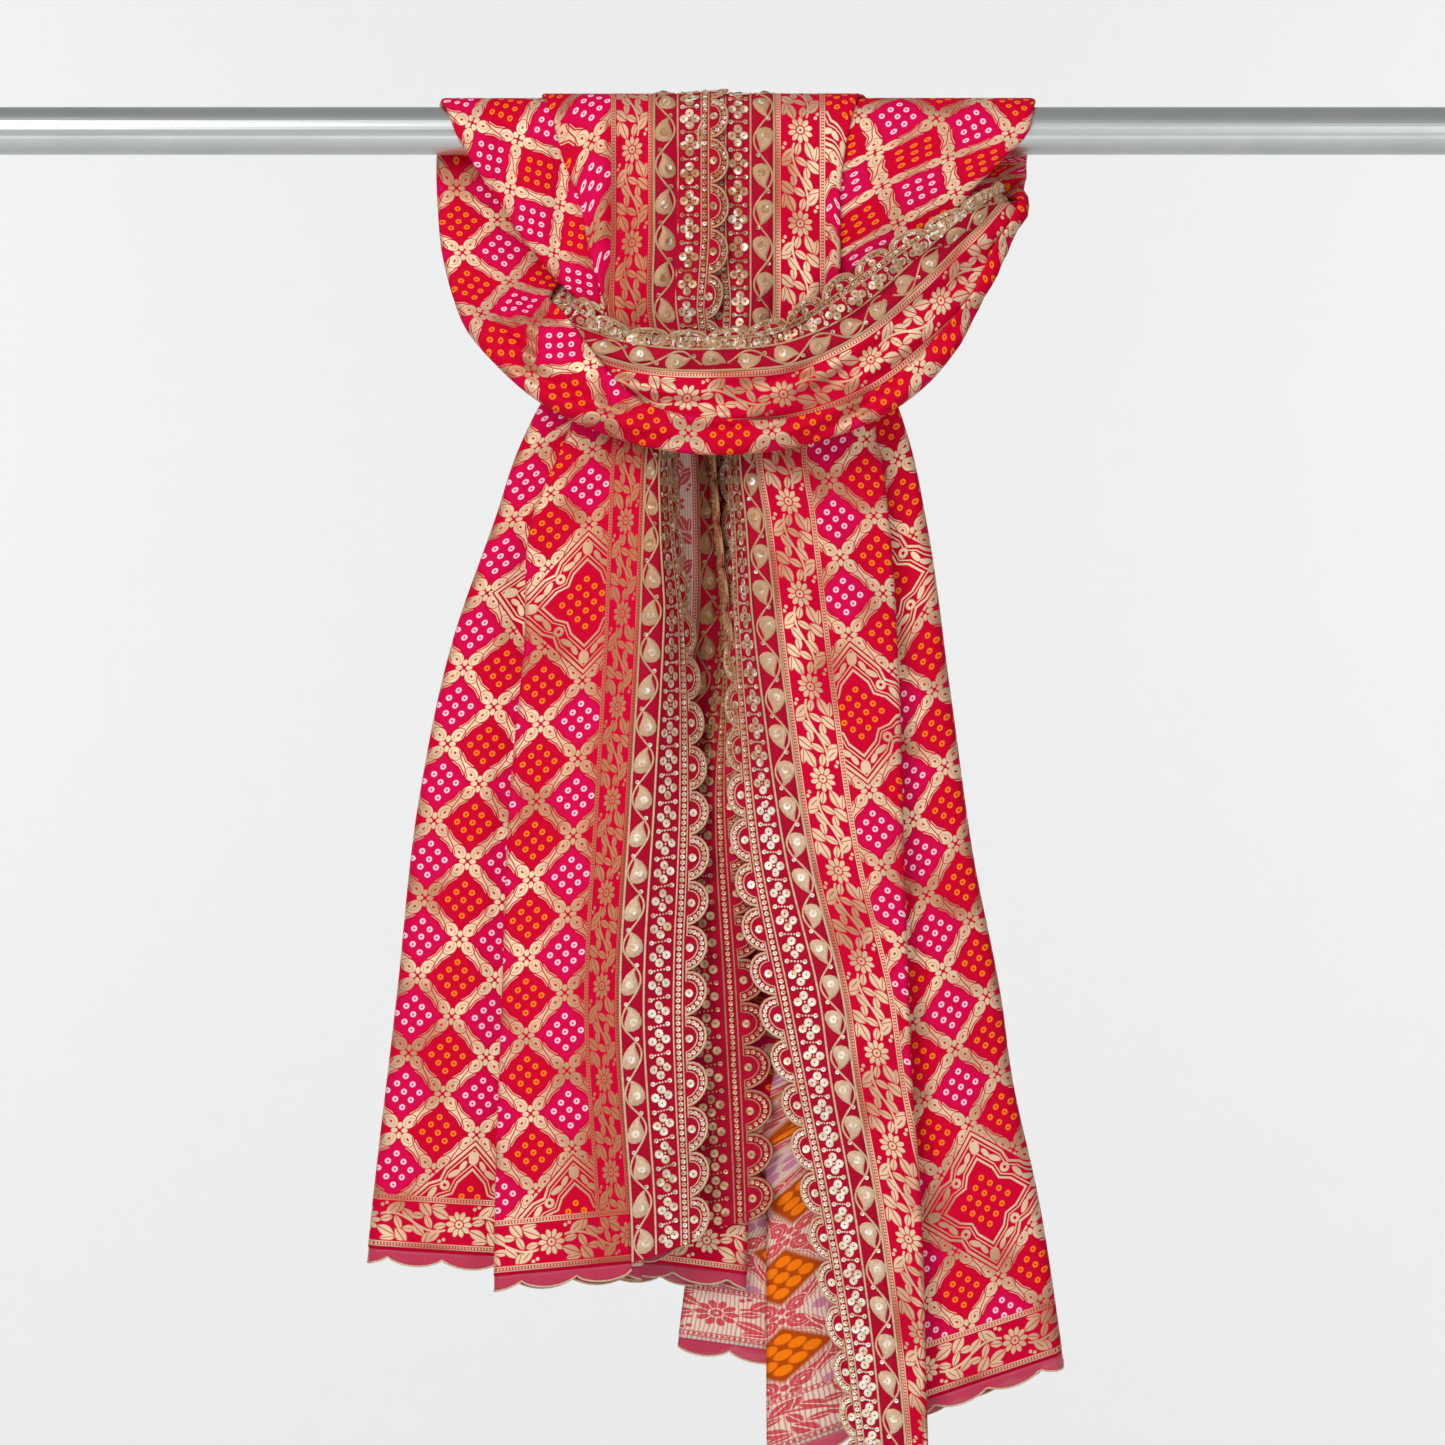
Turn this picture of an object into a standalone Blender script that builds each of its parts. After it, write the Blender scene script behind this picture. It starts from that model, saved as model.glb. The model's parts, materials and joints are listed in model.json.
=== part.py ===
"""A bandhani dupatta hung on a round metal rail by a lark's head.

The cloth is folded in half along its length, its middle is passed behind the rail, and both
tails are drawn down through the loop. One long strip of folded layers is therefore carried
along a path: up the left tail, over the rail, down behind it, round into the loop that
crosses the front, back behind the rail, over it again and down the right tail.

Each station of the path holds a cross-section of the folded strip. Lengths are in millimetres
from the middle of the rail's axis, +X to the right, +Y away from the viewer and +Z up. The
model's origin is the centre of the rail's left end face.
"""

import math
from collections import namedtuple

import bpy
import numpy as np

TO_METRES = 0.001

RAIL_RADIUS = 16.0
RAIL_LENGTH = 1100.0
RAIL_SIDES = 48
RAIL_EDGE = 1.0

CLOTH_WIDTH = 864.0
CLOTH_LENGTH = 2340.0
HALF_WIDTH = CLOTH_WIDTH / 2
LACE_WIDTH = 59.0
VINE_WIDTH = 16.0
SHEET = 1.0
SEAM_GAP = 0.85
HEM_GAP = 0.9

SCALLOP_PITCH = 30.0
SCALLOP_DEPTH = 13.0
SCALLOP_STEPS = 4
EDGING_DROP = 10.0
EDGING_PITCH = 37.0
EDGING_SCALLOP = 6.0
EDGING_STEPS = 5

FOLD_ROUND = 3.0
WRAP_RADIUS = 21.0
WRAP_STEPS = 7
PATH_STEPS = 3000

# One station of the path. inner and outer are the open edges' side and the outer fold of the
# strip, and marks are distances from inner towards outer: lace A's edge and seam, creases 1,
# 2, 4 and 5, and lace B's seam and edge. pitch is from layer to layer, open how far the two
# halves part at the inner side, roll_a and roll_b how deep the laces roll, belly how far the
# middle of the strip swells, and tuck is 1 where the back half takes its extra pleat. rows is
# how many rows of the mesh lie from this station to the next.
Station = namedtuple(
    "Station", "inner outer marks pitch open roll_a roll_b belly tuck rows", defaults=(1,)
)

LEFT_TAIL = (
    Station((32, 6, -850), (-246, 16, -850), (40, 92, 184, 88, 14, 110, 59, 0), 6.0, 4, 5, 0, 6, 0),
    Station((28, 4, -735), (-236, 15, -735), (36, 88, 179, 80, 12, 112, 59, 0), 6.0, 6, 6, 0, 6, 0),
    Station((18, 1, -579), (-218, 12, -579), (28, 86, 164, 60, -20, 138, 59, 0), 6.0, 10, 9, 3, 6, 0),
    Station((4, 0, -446), (-203, 10, -446), (14, 65, 145, 50, 2, 142, 44, -4), 5.5, 26, 24, 24, 5, 0),
    Station((-4, -2, -339), (-180, 8, -339), (15, 51, 127, 42, 26, 146, 16, -3), 5.0, 42, 38, 38, 5, 0),
    Station((-5, -4, -259), (-152, 6, -259), (25, 47, 121, 38, 24, 126, 14, -2), 4.5, 44, 38, 38, 4, 0),
    Station((-7, -6, -212), (-136, 4, -212), (25, 43, 100, 34, 22, 106, 14, 0), 4.0, 34, 30, 28, 2, 0),
    Station((-7, -12, -172), (-114, -7, -172), (16, 38, 84, 28, 18, 90, 24, 5), 3.2, 16, 12, 8, 0, 0),
    Station((-6, -17, -140), (-86, -17, -140), (2, 38, 70, 20, 14, 70, 36, 4), 2.4, 3, 0, 0, 0, 0),
    Station((-5, -18, -119), (-92, -19, -119), (-4, 42, 72, 16, 14, 76, 38, 4), 2.3, 0, -2.5, 0, 0, 0),
    Station((-4, -19, -98), (-112, -20, -98), (-6, 43, 80, 16, 14, 90, 42, 4), 2.2, 0, -2.5, 0, 0, 0),
    Station((-3, -20, -73), (-132, -20, -73), (-7, 43, 87, 16, 14, 107, 44, 4), 2.0, 0, -2.5, 0, 0, 0),
    Station((-3, -20.7, -46), (-150, -20.7, -46), (-7, 43, 92, 16, 14, 122, 45, 4), 1.8, 0, -2.5, 0, 0, 0),
    Station((-3, -21, -22), (-166, -21, -22), (-7, 43, 102, 16, 14, 138, 45, 4), 1.6, 0, -2.5, 0, 0, 0),
)
LEFT_WRAP = (
    Station((-3, 0, 0), (-178, 0, 0), (-7, 43, 108, 16, 14, 148, 45, 4), 1.5, 0, -2.5, 0, 0, 0),
    Station((-3, 0, 0), (-188, 0, 0), (-7, 43, 117, 16, 14, 156, 45, 4), 1.5, 0, -2.5, 0, 0, 0),
    Station((-4, 0, 0), (-190, 0, 0), (-5, 43, 118, 16, 14, 158, 45, 4), 1.5, 0, -2.5, 0, 0, 0),
)
LOOP = (
    Station((-14, 21.2, -20), (-191, 21.2, -22), (2, 43, 115, 16, 14, 150, 45, 4), 1.7, 0, 0, 0, 0, 0),
    Station((-46, 22, -46), (-190, 21, -52), (3, 43, 100, 16, 18, 124, 44, 4), 2.0, 0, 0, 0, 0, 0),
    Station((-82, 20, -76), (-187, 16, -82), (3, 38, 78, 14, 14, 90, 38, 3), 2.3, 0, 0, 0, 0, 0),
    Station((-96, 9, -100), (-180, 8, -110), (3, 32, 56, 12, 10, 62, 32, 3), 2.8, 0, 0, 0, 0, 0),
    Station((-104, -10, -114), (-171, -7, -132), (3, 28, 48, 12, 10, 52, 28, 2), 3.0, 0, 0, 0, 0, 0),
    Station((-94, -30, -121), (-151, -24, -156), (3, 27, 50, 12, 10, 56, 28, 2), 3.0, 0, 0, 0, 2, 0),
    Station((-68, -40, -129), (-118, -36, -184), (3, 28, 58, 12, 26, 64, 28, 1), 2.8, 0, 0, 0, 3, 0),
    Station((-38, -43, -134), (-64, -41, -208), (3, 28, 64, 14, 50, 68, 28, 0), 3.0, 0, 0, 0, 5, 0),
    Station((5, -44, -134), (5, -42, -217), (3, 28, 68, 14, 60, 73, 28, 0), 3.0, 0, 0, 0, 6, 0),
    Station((38, -44, -125), (60, -42, -209), (3, 30, 70, 14, 68, 78, 34, 0), 3.0, 0, 0, 0, 5, 0),
    Station((72, -43, -101), (112, -40, -188), (3, 34, 78, 14, 78, 87, 42, 0), 2.8, 0, 0, 0, 4, 0),
    Station((108, -41, -76), (148, -34, -156), (3, 34, 70, 14, 72, 80, 38, 0), 2.6, 0, 0, 0, 3, 0),
    Station((140, -38, -60), (173, -27, -113), (3, 26, 54, 12, 52, 60, 26, 0), 2.4, 0, 0, 0, 2, 0),
    Station((165, -33, -46), (188, -22, -82), (2, 18, 36, 10, 32, 39, 19, 0), 2.5, 0, 0, 0, 0, 0, 2),
    Station((180, -18, -38), (199, -11, -60), (1, 12, 25, 8, 20, 26, 12, 0), 2.5, 0, 0, 0, 0, 0, 2),
    Station((180, 0, -45), (203, 2, -48), (1, 10, 20, 7, 12, 19, 10, 0), 2.5, 0, 0, 0, 0, 0, 2),
    Station((177, 16, -60), (202, 17, -38), (2, 14, 27, 10, 19, 28, 14, 1), 2.5, 0, 0, 0, 0, 0, 2),
    Station((148, 22.5, -68), (203, 22, -32), (2, 28, 54, 14, 44, 60, 28, 2), 2.2, 0, 0, 0, 0, 0),
    Station((106, 23, -60), (203, 22, -26), (2, 38, 78, 16, 68, 94, 38, 3), 2.1, 0, 0, 0, 0, 0),
    Station((64, 22, -46), (203, 21.8, -19), (2, 40, 96, 16, 70, 120, 42, 3), 1.8, 0, 0, 0, 0, 0),
    Station((26, 21.4, -26), (204, 21.3, -12), (0, 35, 106, 16, 60, 146, 44, 4), 1.6, 0, 0, 0, 0, 0),
)
RIGHT_WRAP = (
    Station((2, 0, 0), (204, 0, 0), (-1, 33, 82, 16, 14, 168, 45, 6), 1.5, 0, 0, 0, 0, 0),
    Station((2, 0, 0), (209, 0, 0), (-1, 33, 90, 16, 14, 172, 45, 6), 1.5, 0, 0, 0, 0, 0),
    Station((2, 0, 0), (205, 0, 0), (-1, 33, 108, 16, 40, 168, 45, 6), 1.5, 0, 0, 0, 0, 0),
)
RIGHT_TAIL = (
    Station((2, -21, -22), (184, -21, -22), (-1, 33, 78, 16, 14, 150, 45, 6), 1.6, 0, 0, 0, 0, 0),
    Station((2, -20.7, -42), (166, -20.7, -42), (-1, 33, 76, 16, 14, 134, 45, 6), 1.8, 0, 0, 0, 0, 0),
    Station((2, -19.7, -65), (152, -19.5, -65), (-1, 33, 76, 16, 14, 122, 45, 6), 2.0, 0, 0, 0, 0, 0),
    Station((2, -18.5, -90), (130, -18, -90), (-1, 33, 76, 16, 14, 104, 44, 6), 2.2, 0, 0, 0, 0, 0),
    Station((2, -17.5, -114), (108, -17, -114), (0, 33, 75, 16, 14, 90, 42, 6), 2.3, 0, 0, 0, 0, 0),
    Station((2, -17, -138), (97, -17, -138), (2, 32, 76, 18, 14, 80, 40, 6), 2.4, 3, 0, 0, 0, 0),
    Station((1, -12, -172), (112, -9, -172), (2, 28, 92, 26, 4, 94, 34, 8), 3.2, 16, 10, 0, 0, 0),
    Station((0, -6, -212), (126, 4, -212), (0, 22, 104, 26, -12, 108, 40, 12), 4.0, 34, 30, 0, 2, 0),
    Station((2, -4, -259), (136, 6, -259), (0, 26, 108, 30, -14, 116, 44, 14), 4.5, 44, 38, 0, 4, 0, 2),
    Station((7, -2, -379), (153, 8, -379), (0, 35, 110, 38, -12, 128, 50, 14), 5.0, 38, 32, 0, 5, 0, 2),
    Station((12, 0, -486), (168, 10, -486), (0, 46, 108, 32, 20, 136, 66, 20), 5.5, 24, 22, 0, 5, 0, 2),
    Station((27, 1, -579), (187, 12, -579), (0, 53, 96, 28, 80, 140, 60, 16), 6.0, 16, 14, 0, 5, 0.4),
    Station((35, 2, -630), (194, 13, -630), (0, 52, 90, 28, 92, 140, 20, 18), 6.0, 14, 14, -36, 5, 0.7, 2),
    Station((53, 4, -713), (212, 15, -713), (0, 49, 78, 24, 92, 140, 30, 80), 6.0, 14, 12, 0, 5, 1),
    Station((72, 6, -816), (228, 17, -816), (0, 44, 62, 14, 60, 140, 10, 60), 6.0, 14, 8, 0, 5, 1),
    Station((92, 9, -970), (246, 20, -970), (0, 36, 46, 10, 20, 136, -16, 34), 6.0, 14, 8, 0, 5, 1),
)

# Where the extra pleat of the right tail's back half has its three creases, by height.
TUCK_HEIGHTS = (-970, -816, -713, -630, -579)
TUCK_CREASES = (
    (-60, -41, -22, 40, 116),
    (0, 10, 14, 40, 100),
    (-135, -101, -59, 20, 84),
)

# Heights of the hem at lace A's edge and seam, creases 1 and 2, the outer fold, creases 4 to
# 8, and lace B's seam and edge.
HEM_MARKS = ("edge_a", "seam_a", "c1", "c2", "fold", "c4", "c5", "c6", "c7", "c8", "seam_b", "edge_b")
LEFT_HEM = (-737, -754, -763, -756, -745, -764, -750, -748, -746, -744, -738, -724)
RIGHT_HEM = (-900, -912, -919, -862, -812, -822, -816, -886, -822, -806, -808, -802)

# Levels of the layers, in pitches from the stack's middle: of the first half, of the second
# half's outer two, and of its last from crease 5 to lace B's seam. A second number is added
# where the extra pleat is laid in.
LEVELS_A = (2.5, 1.5, 0.5)
LEVELS_B = ((-2.5, -2.0), (-1.5, -2.0))
LEVELS_PLEAT = (0.0, -0.5, -0.7, -1.2, -1.4, -1.9, -2.0)


def wrap_stations(low, top, high):
    """Stations half way round the rail, from its front or back over its top to the other side."""
    rows = []
    for step in range(WRAP_STEPS + 1):
        turn = 2 * step / WRAP_STEPS
        one, other, mix = (low, top, turn) if turn < 1 else (top, high, turn - 1)
        angle = math.pi * step / WRAP_STEPS
        ring = np.array((0, -WRAP_RADIUS * math.cos(angle), WRAP_RADIUS * math.sin(angle)))
        inner, outer, marks = (
            np.array(getattr(one, part)) * (1 - mix) + np.array(getattr(other, part)) * mix
            for part in ("inner", "outer", "marks")
        )
        rows.append(low._replace(inner=tuple(inner + ring), outer=tuple(outer + ring), marks=tuple(marks)))
    return rows


def all_stations():
    """Every station from the left tail's end to the right tail's end."""
    return [
        *LEFT_TAIL,
        *wrap_stations(*LEFT_WRAP),
        *LOOP,
        *wrap_stations(*RIGHT_WRAP)[::-1],
        *RIGHT_TAIL,
    ]


def smooth(knots, values, places):
    """A curve through the values at the knots, with slopes taken from the neighbours."""
    knots, values = np.asarray(knots, float), np.asarray(values, float)
    steps = np.diff(knots)
    rises = np.diff(values, axis=0) / steps[:, None]
    weights = (steps[:-1] / (steps[:-1] + steps[1:]))[:, None]
    slopes = np.vstack([rises[:1], rises[:-1] * (1 - weights) + rises[1:] * weights, rises[-1:]])
    index = np.clip(np.searchsorted(knots, places, side="right") - 1, 0, len(steps) - 1)
    step = steps[index][:, None]
    s = ((places - knots[index])[:, None]) / step
    return (
        values[index] * (1 + 2 * s) * (1 - s) ** 2
        + slopes[index] * step * s * (1 - s) ** 2
        + values[index + 1] * s * s * (3 - 2 * s)
        + slopes[index + 1] * step * s * s * (s - 1)
    )


def ease(x, low, high):
    """0 below low, 1 above high and a smooth step between them."""
    s = np.clip((x - low) / (high - low), 0, 1)
    return s * s * (3 - 2 * s)


class Path:
    """The station values along the whole path, as smooth curves."""

    def __init__(self, steps):
        rows = all_stations()
        table = np.array([[*r.inner, *r.outer, *r.marks, *r[3:9]] for r in rows], float)
        self.rows = [r.rows for r in rows]
        middles = (table[:, 0:3] + table[:, 3:6]) / 2
        gaps = np.linalg.norm(np.diff(middles, axis=0), axis=1)
        self.knots = np.concatenate([[0], np.cumsum(np.maximum(gaps, 8))])
        self.places = np.linspace(0, self.knots[-1], steps)
        values = smooth(self.knots, table, self.places)
        self.inner, self.outer = values[:, 0:3], values[:, 3:6]
        across = self.inner - self.outer
        self.width = np.linalg.norm(across, axis=1)
        self.across = across / self.width[:, None]
        facing = np.cross(self.across, np.gradient(self.inner + self.outer, axis=0))
        self.facing = facing / np.linalg.norm(facing, axis=1)[:, None]
        self.marks = values[:, 6:14].T
        self.pitch, self.open, self.roll_a, self.roll_b, self.belly, self.tuck = values[:, 14:20].T
        self.tuck = np.clip(self.tuck, 0, 1)
        loop = len(LEFT_TAIL) + WRAP_STEPS + 1
        self.in_loop = (self.places > self.knots[loop]) & (self.places < self.knots[loop + len(LOOP)])
        right = self.places > self.knots[loop + len(LOOP)]
        heights = np.clip(np.where(right, self.inner[:, 2], 0), *TUCK_HEIGHTS[::4])
        self.tucks = [
            smooth(TUCK_HEIGHTS, np.array(creases, float)[:, None], heights)[:, 0] for creases in TUCK_CREASES
        ]

    def rows_between(self, first, last):
        """Places of the mesh's rows from one station to another."""
        return np.concatenate(
            [
                np.linspace(self.knots[i], self.knots[i + 1], self.rows[i], endpoint=False)
                for i in range(first, last)
            ]
            + [self.knots[last : last + 1]]
        )

    def surface(self, b, n):
        """Points at a distance b from inner towards outer and a depth n out of the strip."""
        return self.inner - b[:, None] * self.across + n[:, None] * self.facing


def section(path):
    """Named marks of the cross-section: distance from inner, depth, and place across the cloth."""
    edge_a, seam_a, c1, c2, c4, c5, seam_b, edge_b = path.marks
    width, pitch = path.width, path.pitch
    apart, laid = ease(path.tuck, 0, 0.4), ease(path.tuck, 0.4, 1)
    first, second, third = (level * pitch for level in LEVELS_A)
    last, middle = ((level + extra * apart) * pitch for level, extra in LEVELS_B)
    plies = [(extra * apart - 0.5) * pitch for extra in LEVELS_PLEAT]
    pleat = [
        (1 - apart) * (c5 + (seam_b - c5) * share) + apart * crease
        for share, crease in zip((0.3, 0.5, 0.7), path.tucks)
    ]
    turn = np.minimum(FOLD_ROUND, 0.9 * pitch)
    small = np.minimum(turn, 0.07 * np.abs(c5 - seam_b))
    pleat_turn = small + (turn - small) * laid
    crossed = 2 * laid - 1
    points = []

    def add(name, b, n):
        points.append((name, b, n))

    def bend(name, b, n_in, n_out, step_in, step_out):
        add(name + "-", b + step_in, n_in)
        add(name, b, (n_in + n_out) / 2)
        add(name + "+", b + step_out, n_out)

    add("edge_a", edge_a, first - path.roll_a)
    add("roll_a", seam_a - np.minimum(VINE_WIDTH, 0.5 * (seam_a - edge_a)), first)
    add("seam_a", seam_a, first)
    bend("c1", c1, first, second, -turn, -turn)
    bend("c2", c2, second, third, turn, turn)
    add("fold-", width - 2 * turn, third)
    add("fold", width, 0.5 * third + 0.5 * last)
    add("fold+", width - 2 * turn, last)
    bend("c4", c4, last, middle, turn, turn)
    bend("c5", c5, middle, plies[0], -turn, -turn)
    bend("c6", pleat[0], plies[0], plies[1], pleat_turn, crossed * pleat_turn)
    bend("c7", pleat[1], plies[2], plies[3], -crossed * pleat_turn, -pleat_turn)
    bend("c8", pleat[2], plies[4], plies[5], pleat_turn, crossed * pleat_turn)
    seam_depth = plies[6] + 0.15 * np.minimum(path.roll_b, 0)
    add("seam_b", seam_b, seam_depth)
    way = np.tanh((seam_b - edge_b) / VINE_WIDTH)
    add("roll_b", seam_b - way * np.minimum(VINE_WIDTH, 0.55 * np.abs(seam_b - edge_b) + 4), seam_depth)
    add("edge_b", edge_b, seam_depth + path.roll_b)
    return points


def swell(path, b, second_half):
    """Depth added by the strip's soft form: the swell of its middle, and its open inner side."""
    share = b / path.width
    belly = path.belly * np.sin(math.pi * np.clip(share, 0, 1)) ** 0.8
    parting = path.open * (1 - np.clip(share, -0.2, 1))
    return np.where(path.in_loop, -belly, belly) - (parting if second_half else 0)


# Columns of the mesh: from one mark to the next in so many steps.
RUNS = (
    ("edge_a", "roll_a", 2), ("roll_a", "seam_a", 1), ("seam_a", "c1-", 3), ("c1-", "c1", 1), ("c1", "c1+", 1),
    ("c1+", "c2-", 2), ("c2-", "c2", 1), ("c2", "c2+", 1), ("c2+", "fold-", 3), ("fold-", "fold", 1),
    ("fold", "fold+", 1), ("fold+", "c4-", 3), ("c4-", "c4", 1), ("c4", "c4+", 1), ("c4+", "c5-", 2),
    ("c5-", "c5", 1), ("c5", "c5+", 1), ("c5+", "c6-", 1), ("c6-", "c6", 1), ("c6", "c6+", 1), ("c6+", "c7-", 1),
    ("c7-", "c7", 1), ("c7", "c7+", 1), ("c7+", "c8-", 1), ("c8-", "c8", 1), ("c8", "c8+", 1), ("c8+", "seam_b", 2),
    ("seam_b", "roll_b", 1), ("roll_b", "edge_b", 2),
)


def strip_columns(path):
    """Points of every column along the whole path, and the columns at the named marks."""
    marks = {name: (b, n) for name, b, n in section(path)}
    b, n = marks[RUNS[0][0]]
    columns, named, second_half = [path.surface(b, n)], {RUNS[0][0]: 0}, False
    for start, end, steps in RUNS:
        (b0, n0), (b1, n1) = marks[start], marks[end]
        for step in range(1, steps + 1):
            share = step / steps
            b, n = b0 + (b1 - b0) * share, n0 + (n1 - n0) * share
            columns.append(path.surface(b, n + swell(path, b, second_half)))
        named[end] = len(columns) - 1
        second_half = second_half or end == "fold"
    return np.array(columns), named


def hem_heights(named, line, heights):
    """The hem's height at every column, from its heights at the named marks along the line."""
    across = np.concatenate([[0], np.cumsum(np.linalg.norm(np.diff(line, axis=0), axis=1))])
    return np.interp(across, across[[named[name] for name in HEM_MARKS]], heights)


# Rows of a tail below the given station, up to which every station has its own.
TAIL_ROWS = (8, 4)
TAIL_TOPS = (5, 13)


def strip_grid():
    """Grid of points, rows along the cloth by columns across it, and the named columns."""
    path = Path(PATH_STEPS)
    points, named = strip_columns(path)
    first = TAIL_TOPS[0]
    last = len(path.knots) - len(RIGHT_TAIL) + TAIL_TOPS[1]
    low, high = path.knots[first], path.knots[last]
    left = hem_heights(named, points[:, np.searchsorted(path.places, path.knots[1])], LEFT_HEM)
    right = hem_heights(named, points[:, np.searchsorted(path.places, path.knots[-2])], RIGHT_HEM)
    tail = (path.places < low, path.places > high)
    grid = []
    for column, line in enumerate(points):
        start = np.interp(left[column], line[tail[0], 2], path.places[tail[0]])
        end = np.interp(-right[column], -line[tail[1], 2], path.places[tail[1]])
        wanted = np.concatenate(
            [
                np.linspace(start, low, TAIL_ROWS[0], endpoint=False),
                path.rows_between(first, last),
                np.linspace(high, end, TAIL_ROWS[1] + 1)[1:],
            ]
        )
        grid.append(np.stack([np.interp(wanted, path.places, line[:, axis]) for axis in range(3)], axis=1))
    return np.array(grid).transpose(1, 0, 2), named


def add_sheet(name, points, faces, material):
    """A sheet of the cloth's thickness on a surface of points and faces."""
    mesh = bpy.data.meshes.new(name)
    origin = np.array((RAIL_LENGTH / 2, 0, 0))
    mesh.from_pydata([tuple(p) for p in (np.asarray(points) + origin) * TO_METRES], [], faces)
    mesh.update()
    sheet = bpy.data.objects.new(name, mesh)
    bpy.context.collection.objects.link(sheet)
    mesh.materials.append(material)
    solidify = sheet.modifiers.new("thickness", "SOLIDIFY")
    solidify.thickness = SHEET * TO_METRES
    solidify.offset = 0
    return sheet


def grid_faces(rows, columns):
    """Quads between neighbouring rows and columns, facing the cloth's right side."""
    return [
        (r * columns + c, (r + 1) * columns + c, (r + 1) * columns + c + 1, r * columns + c + 1)
        for r in range(rows - 1)
        for c in range(columns - 1)
    ]


def between(a, b, share):
    """The point at that share of the way from a to b."""
    return a + (b - a) * share


def add_lace(name, strip, mirrored, material):
    """A sewn lace border: strip runs from its seam to its scalloped edge, a row for each point."""
    rows, columns = strip.shape[:2]
    reach = LACE_WIDTH - VINE_WIDTH
    root = 1 - SCALLOP_DEPTH / (reach / 2)
    points = [tuple(p) for p in strip[:, :-1].reshape(-1, 3)]
    faces = grid_faces(rows, columns - 1)
    length = CLOTH_LENGTH / np.linalg.norm(np.diff(strip[:, -1], axis=0), axis=1).sum()
    travel = np.concatenate([[0], np.cumsum(np.linalg.norm(np.diff(strip[:, -1], axis=0), axis=1) * length)])
    step = SCALLOP_PITCH / SCALLOP_STEPS
    marks = np.arange(step, travel[-1], step)

    def edge_point(place):
        row = min(np.searchsorted(travel, place, side="right") - 1, rows - 2)
        share = (place - travel[row]) / (travel[row + 1] - travel[row])
        depth = root + (1 - root) * math.sqrt(abs(math.sin(math.pi * place / SCALLOP_PITCH)))
        inner = between(strip[row, -2], strip[row + 1, -2], share)
        outer = between(strip[row, -1], strip[row + 1, -1], share)
        return between(inner, outer, depth)

    ends = []
    for place in travel:
        ends.append(len(points))
        points.append(tuple(edge_point(place)))
    for row in range(rows - 1):
        inside = [m for m in marks if travel[row] + 0.5 < m < travel[row + 1] - 0.5]
        edge = []
        for place in inside:
            edge.append(len(points))
            points.append(tuple(edge_point(place)))
        near = row * (columns - 1) + columns - 2
        faces.append((near, near + columns - 1, ends[row + 1], *edge[::-1], ends[row]))
    if mirrored:
        faces = [face[::-1] for face in faces]
    return add_sheet(name, points, faces, material)


def add_edging(name, hem, beyond, turned, material):
    """A narrow scalloped edging below the hem: hem is its upper row and beyond its lower one."""
    travel = np.concatenate([[0], np.cumsum(np.linalg.norm(np.diff(hem, axis=0), axis=1))])
    step = EDGING_PITCH / EDGING_STEPS
    marks = np.arange(step, travel[-1], step)
    shallow = 1 - EDGING_SCALLOP / EDGING_DROP

    def edge_point(place):
        column = min(np.searchsorted(travel, place, side="right") - 1, len(hem) - 2)
        share = (place - travel[column]) / (travel[column + 1] - travel[column])
        depth = shallow + (1 - shallow) * abs(math.sin(math.pi * place / EDGING_PITCH)) ** 0.6
        upper = between(hem[column], hem[column + 1], share)
        return between(upper, between(beyond[column], beyond[column + 1], share), depth)

    points = [tuple(p) for p in hem]
    ends = []
    for place in travel:
        ends.append(len(points))
        points.append(tuple(edge_point(place)))
    faces = []
    for column in range(len(hem) - 1):
        inside = [m for m in marks if travel[column] + 0.4 < m < travel[column + 1] - 0.4]
        edge = []
        for place in inside:
            edge.append(len(points))
            points.append(tuple(edge_point(place)))
        faces.append((column, column + 1, ends[column + 1], *edge[::-1], ends[column]))
    if turned:
        faces = [face[::-1] for face in faces]
    return add_sheet(name, points, faces, material)


def add_material(name, colour, roughness, metallic):
    """A plain finish."""
    material = bpy.data.materials.new(name)
    material.use_nodes = True
    shader = material.node_tree.nodes["Principled BSDF"]
    shader.inputs["Base Color"].default_value = (*colour, 1)
    shader.inputs["Roughness"].default_value = roughness
    shader.inputs["Metallic"].default_value = metallic
    return material


def add_rail():
    """The round bar that the cloth hangs from."""
    bpy.ops.mesh.primitive_cylinder_add(
        vertices=RAIL_SIDES,
        radius=RAIL_RADIUS * TO_METRES,
        depth=RAIL_LENGTH * TO_METRES,
        location=(RAIL_LENGTH / 2 * TO_METRES, 0, 0),
        rotation=(0, math.pi / 2, 0),
    )
    rail = bpy.context.object
    rail.name = "rail"
    rail.data.shade_smooth()
    rail.data.set_sharp_from_angle(angle=math.radians(40))
    rail.data.materials.append(add_material("polished steel", (0.75, 0.77, 0.78), 0.2, 1.0))
    bevel = rail.modifiers.new("edge", "BEVEL")
    bevel.width = RAIL_EDGE * TO_METRES
    bevel.segments = 1
    bevel.limit_method = "ANGLE"


def row_beyond(end, before, distance):
    """The row of points that lies so far past the end row, the way the rows were going."""
    way = end - before
    return end + way / np.linalg.norm(way, axis=1)[:, None] * distance


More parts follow.
